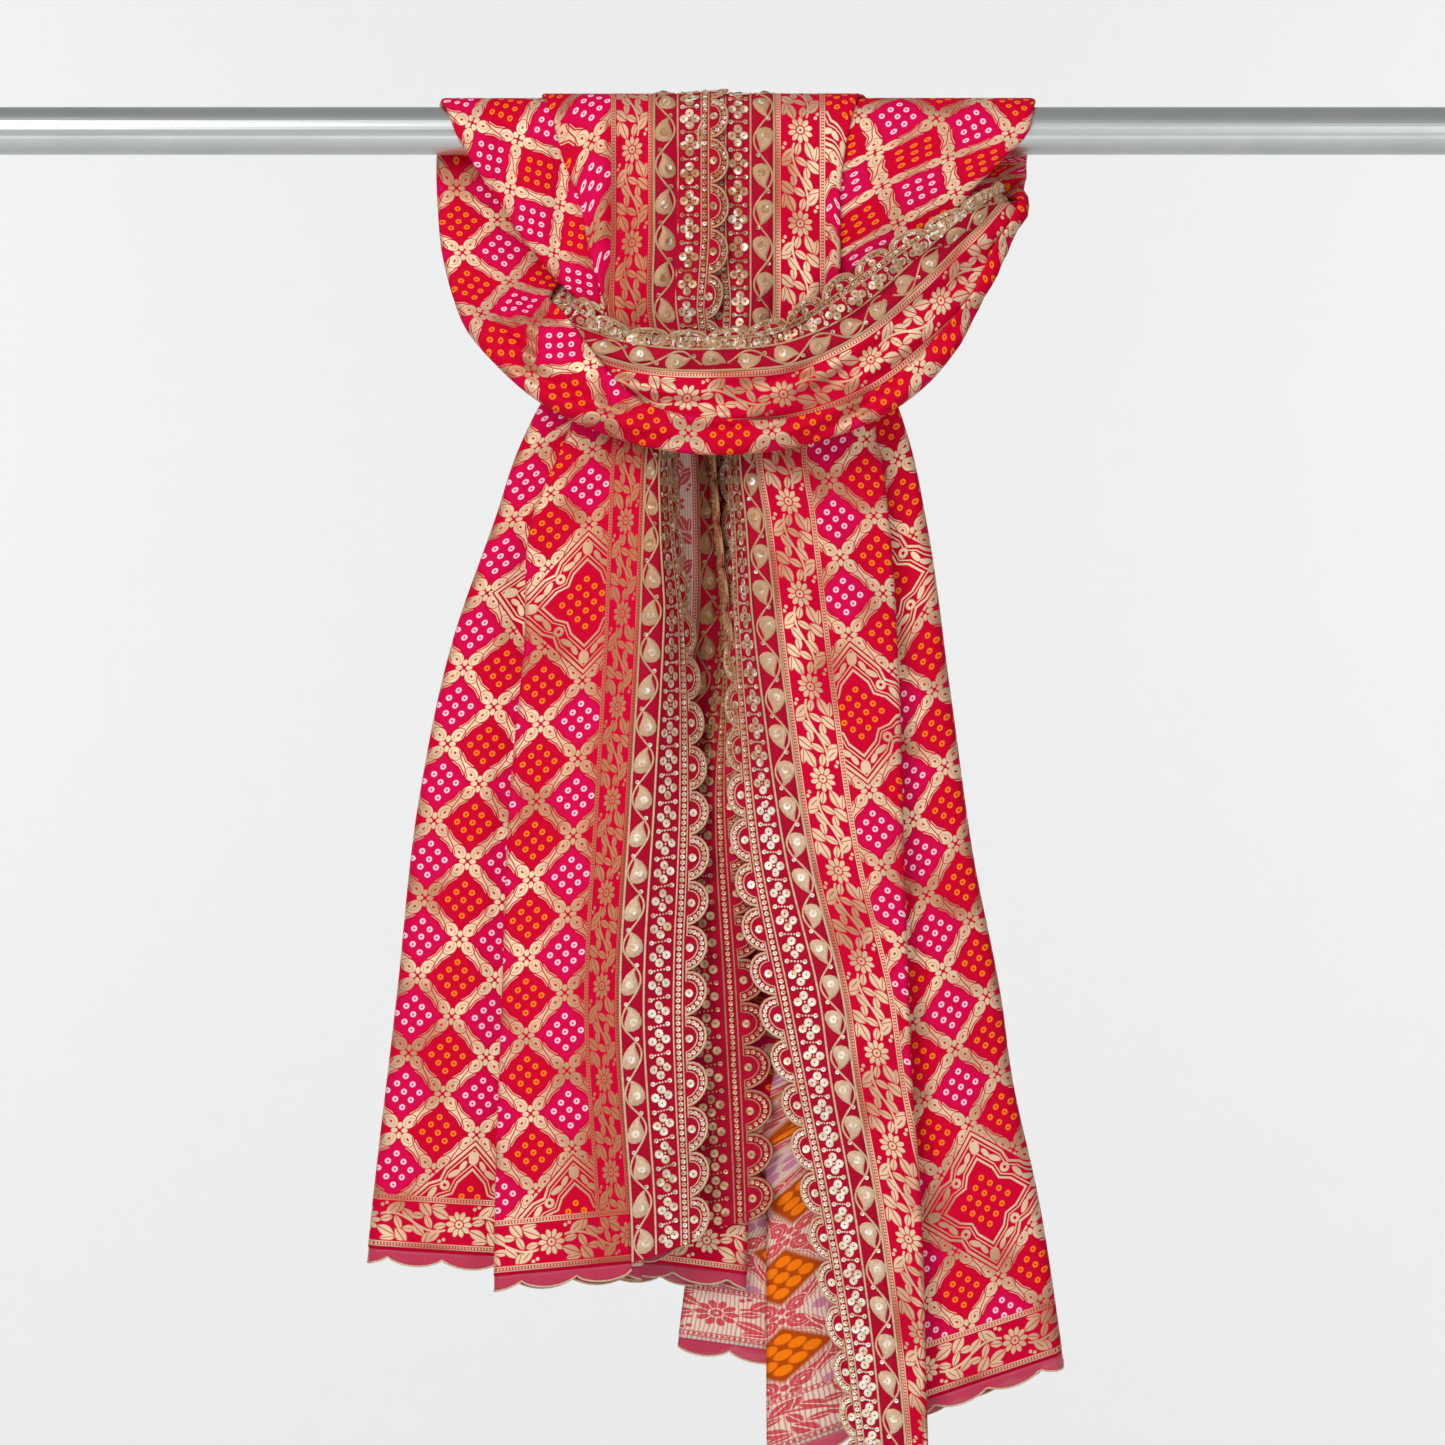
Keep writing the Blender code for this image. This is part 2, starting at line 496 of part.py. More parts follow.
def main():
    for obj in list(bpy.data.objects):
        bpy.data.objects.remove(obj)
    silk = add_material("red georgette", (0.62, 0.004, 0.045), 0.6, 0.0)
    lace = add_material("gold lace", (0.55, 0.30, 0.12), 0.5, 0.3)
    organza = add_material("pink organza", (0.72, 0.06, 0.12), 0.5, 0.0)
    add_rail()

    grid, named = strip_grid()
    seam_a, seam_b = named["seam_a"], named["seam_b"]
    cloth = grid[:, seam_a : seam_b + 1].copy()
    for edge, inward in ((0, 1), (-1, -2)):
        way = cloth[:, inward] - cloth[:, edge]
        cloth[:, edge] += way / np.linalg.norm(way, axis=1)[:, None] * SEAM_GAP
    rows, columns = cloth.shape[:2]
    add_sheet("cloth", cloth.reshape(-1, 3), grid_faces(rows, columns), silk)
    add_lace("lace_border_a", grid[:, seam_a::-1], True, lace)
    add_lace("lace_border_b", grid[:, seam_b:], False, lace)
    for name, end, before, turned in (("hem_edging_left", 0, 1, False), ("hem_edging_right", -1, -2, True)):
        hem = row_beyond(cloth[end], cloth[before], HEM_GAP)
        beyond = row_beyond(cloth[end], cloth[before], HEM_GAP + EDGING_DROP)
        add_edging(name, hem, beyond, turned, organza)


main()
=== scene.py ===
"""Looks for a bandhani dupatta hung on a polished rail by a lark's head.

The cloth is folded in half along its length, its middle is passed behind the rail, and both
tails are drawn down through the loop. One long strip of folded layers is carried along a path:
up the left tail, over the rail, down behind it, round into the loop that crosses the front,
back behind the rail, over it again and down the right tail.

Shapes are worked out in millimetres from the middle of the rail's axis, +X to the right, +Y away
from the viewer and +Z up, and turned into metres from the rail's left end when a mesh is made.
Patterns follow the flat cloth: u runs along it from the left hem and v across it from the edge
of the front lace, both in millimetres.
"""

from __future__ import annotations

import logging
import math
from collections.abc import Mapping, Sequence
from dataclasses import dataclass, field
from enum import Enum

import bpy
import numpy as np
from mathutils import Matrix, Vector
from numpy.typing import NDArray
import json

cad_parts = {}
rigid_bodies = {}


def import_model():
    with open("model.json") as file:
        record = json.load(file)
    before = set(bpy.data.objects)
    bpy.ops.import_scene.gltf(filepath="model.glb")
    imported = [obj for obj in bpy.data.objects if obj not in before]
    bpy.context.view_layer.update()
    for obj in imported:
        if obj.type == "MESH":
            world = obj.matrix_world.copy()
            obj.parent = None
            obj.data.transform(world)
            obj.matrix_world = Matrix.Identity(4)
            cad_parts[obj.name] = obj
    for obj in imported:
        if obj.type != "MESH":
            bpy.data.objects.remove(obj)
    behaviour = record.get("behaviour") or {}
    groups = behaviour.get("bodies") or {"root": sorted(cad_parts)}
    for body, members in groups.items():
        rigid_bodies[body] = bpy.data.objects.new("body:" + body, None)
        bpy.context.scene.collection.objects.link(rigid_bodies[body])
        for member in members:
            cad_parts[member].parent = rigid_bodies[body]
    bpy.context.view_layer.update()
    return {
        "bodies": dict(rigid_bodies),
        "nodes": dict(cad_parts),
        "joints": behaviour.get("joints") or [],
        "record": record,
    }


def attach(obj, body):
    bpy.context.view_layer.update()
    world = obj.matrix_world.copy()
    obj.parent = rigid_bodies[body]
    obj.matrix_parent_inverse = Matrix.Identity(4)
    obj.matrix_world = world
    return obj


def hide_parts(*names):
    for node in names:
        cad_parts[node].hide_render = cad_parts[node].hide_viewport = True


Array = NDArray[np.float64]
Point = tuple[float, float, float]
Colour = tuple[float, float, float, float]

LOG = logging.getLogger("dupatta")

METRES = 0.001
RAIL_MIDDLE = 550.0
BODY = "root"

CLOTH_WIDTH = 864.0
LACE_LENGTH = 2580.0
LACE_WIDTH = 59.0
VINE_WIDTH = 16.0
BORDER_WIDTH = 35.0
END_BAND = 37.0
LATTICE = 52.0
LATTICE_START = 107.0
MEDALLION_START = 28.0


class LaceSide(Enum):
    """Which long edge of the cloth a lace border is sewn to."""

    FRONT = "a"
    BACK = "b"


class Tail(Enum):
    """Which end of the cloth a hem is at."""

    LEFT = "left"
    RIGHT = "right"


class ClothFace(Enum):
    """The two faces of the woven cloth."""

    RIGHT_SIDE = "right side"
    WRONG_SIDE = "wrong side"


def linear(code: str) -> Colour:
    """The linear colour of an sRGB hex code.

    Args:
        code: Six hex digits, such as "db0a3c".

    Returns:
        Red, green, blue and 1, each channel turned linear by the sRGB curve.
    """
    channels = [int(code[i : i + 2], 16) / 255 for i in (0, 2, 4)]
    red, green, blue = (c / 12.92 if c <= 0.04045 else ((c + 0.055) / 1.055) ** 2.4 for c in channels)
    return (red, green, blue, 1.0)


def ease(x: Array | float, low: float, high: float) -> Array:
    """A smooth step: 3s^2 - 2s^3, where s goes from 0 at low to 1 at high.

    Args:
        x: Values.
        low: Where the step starts.
        high: Where the step ends.

    Returns:
        0 below low, 1 above high.
    """
    s = np.clip((np.asarray(x, float) - low) / (high - low), 0, 1)
    return s * s * (3 - 2 * s)


def smooth(knots: Array, values: Array, places: Array) -> Array:
    """A cubic Hermite curve through the values, its slopes weighted from the neighbours.

    Args:
        knots: Places of the values, rising.
        values: One row for each knot.
        places: Where the curve is wanted.

    Returns:
        One row for each place.
    """
    steps = np.diff(knots)
    rises = np.diff(values, axis=0) / steps[:, None]
    weights = (steps[:-1] / (steps[:-1] + steps[1:]))[:, None]
    slopes = np.vstack([rises[:1], rises[:-1] * (1 - weights) + rises[1:] * weights, rises[-1:]])
    index = np.clip(np.searchsorted(knots, places, side="right") - 1, 0, len(steps) - 1)
    step = steps[index][:, None]
    s = ((places - knots[index])[:, None]) / step
    return (
        values[index] * (1 + 2 * s) * (1 - s) ** 2
        + slopes[index] * step * s * (1 - s) ** 2
        + values[index + 1] * s * s * (3 - 2 * s)
        + slopes[index + 1] * step * s * s * (s - 1)
    )


def unit(vectors: Array) -> Array:
    """The vectors scaled to a length of 1 along their last axis."""
    return vectors / np.maximum(np.linalg.norm(vectors, axis=-1, keepdims=True), 1e-9)


@dataclass(frozen=True)
class Station:
    """One cross-section of the folded strip on its path.

    inner is its open edges' side and outer its outer fold. marks are distances from inner
    towards outer: lace A's edge and seam, creases 1, 2, 4 and 5, and lace B's seam and edge.
    pitch is from layer to layer, parting how far the two halves part at the inner side, roll_a
    and roll_b how deep the laces roll, belly how far the middle swells, and tuck is 1 where the
    back half takes its extra pleat.
    """

    inner: Point
    outer: Point
    marks: tuple[float, ...]
    pitch: float
    parting: float
    roll_a: float
    roll_b: float
    belly: float
    tuck: float

    def row(self) -> list[float]:
        """Every number of the station in one row."""
        sizes = (self.pitch, self.parting, self.roll_a, self.roll_b, self.belly, self.tuck)
        return [*self.inner, *self.outer, *self.marks, *sizes]


LEFT_TAIL = (
    Station((32, 6, -850), (-246, 16, -850), (40, 92, 184, 88, 14, 110, 59, 0), 6.0, 4, 5, 0, 6, 0),
    Station((28, 4, -735), (-236, 15, -735), (36, 88, 179, 80, 12, 112, 59, -6), 6.0, 6, 6, 0, 6, 0),
    Station((18, 1, -579), (-218, 12, -579), (28, 86, 164, 60, -20, 138, 59, -12), 6.0, 10, 9, 3, 6, 0),
    Station((4, 0, -446), (-203, 10, -446), (14, 65, 145, 50, 2, 142, 44, -12), 5.5, 26, 24, 24, 5, 0),
    Station((-4, -2, -339), (-180, 8, -339), (15, 51, 127, 42, 26, 146, 16, -10), 5.0, 42, 38, 38, 5, 0),
    Station((-5, -4, -259), (-152, 6, -259), (25, 47, 121, 38, 24, 126, 14, -2), 4.5, 44, 38, 38, 4, 0),
    Station((-7, -6, -212), (-136, 4, -212), (25, 43, 100, 34, 22, 106, 14, 0), 4.0, 34, 30, 28, 2, 0),
    Station((-7, -12, -172), (-114, -7, -172), (16, 38, 84, 28, 18, 90, 24, 5), 3.2, 16, 12, 8, 0, 0),
    Station((-6, -17, -140), (-86, -17, -140), (-5, 38, 70, 20, 14, 70, 36, 4), 2.4, 3, 0, 0, 0, 0),
    Station((-5, -18, -119), (-92, -19, -119), (-4, 42, 72, 16, 14, 76, 38, 4), 2.3, 0, -2.5, 0, 0, 0),
    Station((-4, -19, -98), (-112, -20, -98), (-6, 43, 80, 16, 14, 90, 42, 4), 2.2, 0, -2.5, 0, 0, 0),
    Station((-3, -20, -73), (-132, -20, -73), (-7, 43, 87, 16, 14, 107, 44, 4), 2.0, 0, -2.5, 0, 0, 0),
    Station((-3, -20.7, -46), (-150, -20.7, -46), (-7, 43, 92, 16, 14, 122, 45, 4), 1.8, 0, -2.5, 0, 0, 0),
    Station((-3, -21, -22), (-166, -21, -22), (-7, 43, 102, 16, 14, 138, 45, 4), 1.6, 0, -2.5, 0, 0, 0),
)
LEFT_WRAP = (
    Station((-3, 0, 0), (-178, 0, 0), (-7, 43, 108, 16, 14, 148, 45, 4), 1.5, 0, -2.5, 0, 0, 0),
    Station((-3, 0, 0), (-188, 0, 0), (-7, 43, 117, 16, 14, 156, 45, 4), 1.5, 0, -2.5, 0, 0, 0),
    Station((-4, 0, 0), (-190, 0, 0), (-5, 43, 118, 16, 14, 158, 45, 4), 1.5, 0, -2.5, 0, 0, 0),
)
LOOP = (
    Station((-14, 21.2, -20), (-191, 21.2, -22), (2, 43, 115, 16, 14, 150, 45, 4), 1.7, 0, 0, 0, 0, 0),
    Station((-46, 22, -46), (-190, 21, -52), (3, 43, 100, 16, 18, 124, 44, 4), 2.0, 0, 0, 0, 0, 0),
    Station((-82, 20, -76), (-187, 16, -82), (3, 38, 78, 14, 14, 90, 38, 3), 2.3, 0, 0, 0, 0, 0),
    Station((-96, 9, -100), (-180, 8, -110), (-8, 32, 56, 12, 10, 62, 32, -8), 2.8, 0, 0, 0, 0, 0),
    Station((-104, -10, -114), (-171, -7, -132), (-14, 28, 48, 12, 10, 52, 28, -14), 3.0, 0, 0, 0, 0, 0),
    Station((-94, -30, -121), (-151, -24, -156), (-8, 27, 50, 12, 10, 56, 28, -8), 3.0, 0, 0, 0, 2, 0),
    Station((-68, -40, -129), (-118, -36, -184), (3, 28, 58, 12, 26, 64, 28, 1), 2.8, 0, 0, 0, 3, 0),
    Station((-38, -43, -134), (-64, -41, -208), (3, 28, 64, 14, 50, 68, 28, 0), 3.0, 0, 0, 0, 5, 0),
    Station((5, -44, -134), (5, -42, -217), (3, 28, 68, 14, 60, 73, 28, 0), 3.0, 0, 0, 0, 6, 0),
    Station((38, -44, -125), (60, -42, -209), (3, 30, 70, 14, 68, 78, 34, 0), 3.0, 0, 0, 0, 5, 0),
    Station((72, -43, -101), (112, -40, -188), (3, 34, 78, 14, 78, 87, 42, 0), 2.8, 0, 0, 0, 4, 0),
    Station((108, -41, -76), (148, -34, -156), (3, 34, 70, 14, 72, 80, 38, 0), 2.6, 0, 0, 0, 3, 0),
    Station((140, -38, -60), (173, -27, -113), (3, 26, 54, 12, 52, 60, 26, 0), 2.4, 0, 0, 0, 2, 0),
    Station((165, -33, -46), (188, -22, -82), (2, 18, 36, 10, 32, 39, 19, 0), 2.5, 0, 0, 0, 0, 0),
    Station((180, -18, -38), (199, -11, -60), (1, 12, 25, 8, 20, 26, 12, 0), 2.5, 0, 0, 0, 0, 0),
    Station((180, 0, -45), (203, 2, -48), (1, 10, 20, 7, 12, 19, 10, 0), 2.5, 0, 0, 0, 0, 0),
    Station((177, 16, -60), (202, 17, -38), (2, 14, 27, 10, 19, 28, 14, 1), 2.5, 0, 0, 0, 0, 0),
    Station((148, 22.5, -68), (203, 22, -32), (2, 28, 54, 14, 44, 60, 28, 2), 2.2, 0, 0, 0, 0, 0),
    Station((106, 23, -60), (203, 22, -26), (2, 38, 78, 16, 68, 94, 38, 3), 2.1, 0, 0, 0, 0, 0),
    Station((64, 22, -46), (203, 21.8, -19), (2, 40, 96, 16, 70, 120, 42, 3), 1.8, 0, 0, 0, 0, 0),
    Station((26, 21.4, -26), (204, 21.3, -12), (0, 35, 106, 16, 60, 146, 44, 4), 1.6, 0, 0, 0, 0, 0),
)
RIGHT_WRAP = (
    Station((2, 0, 0), (204, 0, 0), (-19, 33, 82, 16, 14, 168, 45, 6), 1.5, 0, 0, 0, 0, 0),
    Station((2, 0, 0), (209, 0, 0), (-19, 33, 90, 16, 14, 172, 45, 6), 1.5, 0, 0, 0, 0, 0),
    Station((2, 0, 0), (205, 0, 0), (-10, 33, 108, 16, 40, 168, 45, 6), 1.5, 0, 0, 0, 0, 0),
)
RIGHT_TAIL = (
    Station((2, -21, -22), (184, -21, -22), (-19, 33, 78, 16, 14, 150, 45, 6), 1.6, 0, 2.2, 0, 0, 0),
    Station((2, -20.7, -42), (166, -20.7, -42), (-19, 33, 76, 16, 14, 134, 45, 6), 1.8, 0, 2.2, 0, 0, 0),
    Station((2, -19.7, -65), (152, -19.5, -65), (-19, 33, 76, 16, 14, 122, 45, 6), 2.0, 0, 2.2, 0, 0, 0),
    Station((2, -18.5, -90), (130, -18, -90), (-16, 33, 76, 16, 14, 104, 44, 6), 2.2, 0, 2.4, 0, 0, 0),
    Station((2, -17.5, -114), (108, -17, -114), (-12, 33, 75, 16, 14, 90, 42, 6), 2.3, 0, 2.4, 0, 0, 0),
    Station((2, -17, -138), (97, -17, -138), (-12, 32, 76, 18, 14, 80, 40, 6), 2.4, 3, 0, 0, 0, 0),
    Station((1, -12, -172), (112, -9, -172), (2, 28, 92, 26, 4, 94, 34, 8), 3.2, 16, 10, 0, 0, 0),
    Station((0, -6, -212), (126, 4, -212), (0, 22, 104, 26, -12, 108, 40, 12), 4.0, 34, 30, 0, 2, 0),
    Station((2, -4, -259), (136, 6, -259), (0, 26, 108, 30, -14, 116, 44, 14), 4.5, 44, 38, 0, 4, 0),
    Station((7, -2, -379), (153, 8, -379), (-4, 35, 110, 38, -12, 128, 50, 14), 5.0, 38, 32, 0, 5, 0),
    Station((12, 0, -486), (168, 10, -486), (-5, 46, 108, 32, 20, 136, 66, 20), 5.5, 24, 22, 0, 5, 0),
    Station((27, 1, -579), (187, 12, -579), (-5, 53, 96, 28, 80, 140, 60, 16), 6.0, 16, 14, 0, 5, 0.4),
    Station((35, 2, -630), (194, 13, -630), (0, 52, 90, 28, 92, 140, 20, 18), 6.0, 14, 14, -36, 5, 0.7),
    Station((53, 4, -713), (212, 15, -713), (0, 49, 78, 24, 92, 140, 30, 80), 6.0, 14, 12, 0, 5, 1),
    Station((72, 6, -816), (228, 17, -816), (0, 44, 62, 14, 60, 140, 10, 60), 6.0, 14, 8, 0, 5, 1),
    Station((92, 9, -970), (246, 20, -970), (0, 36, 46, 10, 20, 136, -16, 34), 6.0, 14, 8, 0, 5, 1),
)


@dataclass
class StripPath:
    """The folded strip's path over the rail and through its own loop, as smooth curves."""

    steps: int = 3000
    wrap_radius: float = 21.0
    wrap_steps: int = 7
    tuck_heights: tuple[float, ...] = (-970, -816, -713, -630, -579)
    tuck_creases: tuple[tuple[float, ...], ...] = (
        (-60, -41, -22, -6, 70),
        (0, 10, 14, 40, 100),
        (-135, -101, -59, 20, 84),
    )

    def __post_init__(self) -> None:
        """Carries every station value along the path as a Hermite curve of the path's length."""
        table = np.array([station.row() for station in self.stations()])
        middles = (table[:, 0:3] + table[:, 3:6]) / 2
        gaps = np.linalg.norm(np.diff(middles, axis=0), axis=1)
        self.knots = np.concatenate([[0], np.cumsum(np.maximum(gaps, 8))])
        self.places = np.linspace(0, self.knots[-1], self.steps)
        values = smooth(self.knots, table, self.places)
        self.inner, self.outer = values[:, 0:3], values[:, 3:6]
        across = self.inner - self.outer
        self.width = np.linalg.norm(across, axis=1)
        self.across = unit(across)
        self.facing = unit(np.cross(self.across, np.gradient(self.inner + self.outer, axis=0)))
        self.marks = values[:, 6:14].T
        self.pitch, self.parting, self.roll_a, self.roll_b, self.belly, tuck = values[:, 14:20].T
        self.tuck = np.clip(tuck, 0, 1)
        self.loop_start = len(LEFT_TAIL) + self.wrap_steps + 1
        self.loop_end = self.loop_start + len(LOOP)
        self.in_loop = (self.places > self.knots[self.loop_start]) & (self.places < self.knots[self.loop_end])
        heights = np.where(self.places > self.knots[self.loop_end], self.inner[:, 2], 0)
        heights = np.clip(heights, self.tuck_heights[0], self.tuck_heights[-1])
        knots = np.array(self.tuck_heights, float)
        self.tucks = [smooth(knots, np.array(c, float)[:, None], heights)[:, 0] for c in self.tuck_creases]

    def stations(self) -> list[Station]:
        """Every station from the left tail's end to the right tail's end."""
        left, right = self.wrap(*LEFT_WRAP), self.wrap(*RIGHT_WRAP)[::-1]
        return [*LEFT_TAIL, *left, *LOOP, *right, *RIGHT_TAIL]

    def wrap(self, low: Station, top: Station, high: Station) -> list[Station]:
        """Stations on a half circle round the rail, their spans mixed from low to top to high.

        Args:
            low: The spans in front of the rail.
            top: The spans on top of it.
            high: The spans behind it.

        Returns:
            Stations from the front, over the top, to the back.
        """
        rows = []
        for step in range(self.wrap_steps + 1):
            turn = 2 * step / self.wrap_steps
            one, other, mix = (low, top, turn) if turn < 1 else (top, high, turn - 1)
            angle = math.pi * step / self.wrap_steps
            ring = np.array((0, -self.wrap_radius * math.cos(angle), self.wrap_radius * math.sin(angle)))
            inner, outer, marks = (
                np.array(a) * (1 - mix) + np.array(b) * mix
                for a, b in ((one.inner, other.inner), (one.outer, other.outer), (one.marks, other.marks))
            )
            sizes = (low.pitch, low.parting, low.roll_a, low.roll_b, low.belly, low.tuck)
            rows.append(Station(tuple(inner + ring), tuple(outer + ring), tuple(marks), *sizes))
        return rows

    def surface(self, b: Array, n: Array) -> Array:
        """Points at a distance b from inner towards outer and a depth n out of the strip."""
        return self.inner - b[..., None] * self.across + n[..., None] * self.facing


@dataclass
class Section:
    """The folded cross-section along a path: where each crease lies, and which v it carries.

    Creases are half ellipses, so a layer turns back on itself in a soft fold. v keeps its true
    scale from the front lace to crease 1, on both sides of the outer fold and from crease 5 to
    the back lace, and the hidden layers between take up the rest of the cloth.
    """

    path: StripPath
    fold_round: float = 3.0
    levels_a: tuple[float, ...] = (2.5, 1.5, 0.5)
    levels_b: tuple[tuple[float, float], ...] = ((-2.5, -2.0), (-1.5, -2.0))
    levels_pleat: tuple[float, ...] = (0.0, -0.5, -0.7, -1.2, -1.4, -1.9, -2.0)
    border_dip: float = 3.0
    fold_left: float = 432.0
    fold_right: float = 404.0
    marks: dict[str, tuple[Array, Array, Array]] = field(default_factory=dict)

    def __post_init__(self) -> None:
        """Lays the section's marks: the front half, the fold, then the back half."""
        path = self.path
        edge_a, seam_a, c1, c2, c4, c5, seam_b, edge_b = path.marks
        width, pitch = path.width, path.pitch
        apart, laid = ease(path.tuck, 0, 0.4), ease(path.tuck, 0.4, 1)
        first, second, third = (level * pitch for level in self.levels_a)
        last, middle = ((level + extra * apart) * pitch for level, extra in self.levels_b)
        plies = [(extra * apart - 0.5) * pitch for extra in self.levels_pleat]
        pleat = [
            (1 - apart) * (c5 + (seam_b - c5) * share) + apart * crease
            for share, crease in zip((0.3, 0.5, 0.7), path.tucks)
        ]
        turn = np.minimum(self.fold_round, 0.9 * pitch)
        small = np.minimum(turn, 0.07 * np.abs(c5 - seam_b))
        pleat_turn = small + (turn - small) * laid
        crossed = (2 * laid - 1) * pleat_turn

        seam_v = CLOTH_WIDTH - LACE_WIDTH
        moved = ease(path.places, path.knots[path.loop_end - 4], path.knots[path.loop_end])
        fold_v = self.fold_left + (self.fold_right - self.fold_left) * moved
        lower = 1 - ease(path.places, path.knots[7], path.knots[9])
        upper = 1 - ease(path.places, path.knots[16], path.knots[19])
        drawn_in = 0.95 - 0.15 * upper - 0.14 * lower
        border = np.minimum(BORDER_WIDTH * drawn_in, 0.8 * np.maximum(c1 - seam_a, 4))
        border_v = LACE_WIDTH + border / drawn_in
        v1 = border_v + np.maximum(c1 - seam_a - border, 1)
        v2 = np.maximum(fold_v - (width - c2), v1 + 8)
        room = seam_v - fold_v
        front = np.minimum(width - c4, 0.6 * room)
        run = [np.abs(a - b) for a, b in zip((c5, *pleat), (*pleat, seam_b))]
        back = np.minimum(sum(run), room - front - 12)
        end = np.minimum(run[3], 0.5 * back)
        rest = (back - end) / np.maximum(run[0] + run[1] + run[2], 1)
        v8 = seam_v - end
        v7 = v8 - run[2] * rest
        v6 = v7 - run[1] * rest

        self.put("edge_a", edge_a, first - path.roll_a, 0 * width)
        roll = seam_a - np.minimum(VINE_WIDTH, 0.5 * (seam_a - edge_a))
        self.put("roll_a", roll, first, 0 * width + LACE_WIDTH - VINE_WIDTH)
        self.put("seam_a", seam_a, first, 0 * width + LACE_WIDTH)
        self.put("border", seam_a + border, first - self.border_dip * lower, border_v)
        self.bend("c1", c1, (first, second), (-turn, -turn), v1)
        self.bend("c2", c2, (second, third), (turn, turn), v2)
        self.put("fold-", width - 2 * turn, third, fold_v - 2 * turn)
        self.put("fold", width, 0.5 * third + 0.5 * last, fold_v)
        self.put("fold+", width - 2 * turn, last, fold_v + 2 * turn)
        self.bend("c4", c4, (last, middle), (turn, turn), fold_v + front)
        self.bend("c5", c5, (middle, plies[0]), (-turn, -turn), seam_v - back)
        self.bend("c6", pleat[0], (plies[0], plies[1]), (pleat_turn, crossed), v6)
        self.bend("c7", pleat[1], (plies[2], plies[3]), (-crossed, -pleat_turn), v7)
        self.bend("c8", pleat[2], (plies[4], plies[5]), (pleat_turn, crossed), v8)
        depth = plies[6] + 0.15 * np.minimum(path.roll_b, 0)
        self.put("seam_b", seam_b, depth, 0 * width + seam_v)
        way = np.tanh((seam_b - edge_b) / VINE_WIDTH)
        roll = seam_b - way * np.minimum(VINE_WIDTH, 0.55 * np.abs(seam_b - edge_b) + 4)
        self.put("roll_b", roll, depth, 0 * width + seam_v + VINE_WIDTH)
        self.put("edge_b", edge_b, depth + path.roll_b, 0 * width + CLOTH_WIDTH)

    def put(self, name: str, b: Array, n: Array, v: Array) -> None:
        """Lays one mark at a distance b and depth n, at v across the flat cloth."""
        self.marks[name] = (b, n, v)

    def bend(self, name: str, b: Array, depths: Sequence[Array], steps: Sequence[Array], v: Array) -> None:
        """Lays a crease and the marks on both sides of it.

        Args:
            name: The crease's name.
            b: Where it is.
            depths: The depth of the layer before it and of the layer after it.
            steps: How far from it the mark before and the mark after lie.
            v: Its place across the flat cloth.
        """
        self.put(name + "-", b + steps[0], depths[0], v - np.abs(steps[0]))
        self.put(name, b, (depths[0] + depths[1]) / 2, v)
        self.put(name + "+", b + steps[1], depths[1], v + np.abs(steps[1]))

    def between(self, start: str, end: str, share: float) -> tuple[Array, Array, Array]:
        """The section at a share of the way from one mark to the next.

        Args:
            start: The mark before.
            end: The mark after.
            share: From 0 to 1.

        Returns:
            Distance, depth and v: straight between marks, and a quarter of an ellipse on each
            side of a crease, b by its cosine and n by its sine.
        """
        (b0, n0, v0), (b1, n1, v1) = self.marks[start], self.marks[end]
        b_share = n_share = share
        if start[-1] == "-" and end == start[:-1]:
            b_share, n_share = math.sin(math.pi / 2 * share), 1 - math.cos(math.pi / 2 * share)
        elif end[-1] == "+" and start == end[:-1]:
            b_share, n_share = 1 - math.cos(math.pi / 2 * share), math.sin(math.pi / 2 * share)
        return b0 + (b1 - b0) * b_share, n0 + (n1 - n0) * n_share, v0 + (v1 - v0) * share


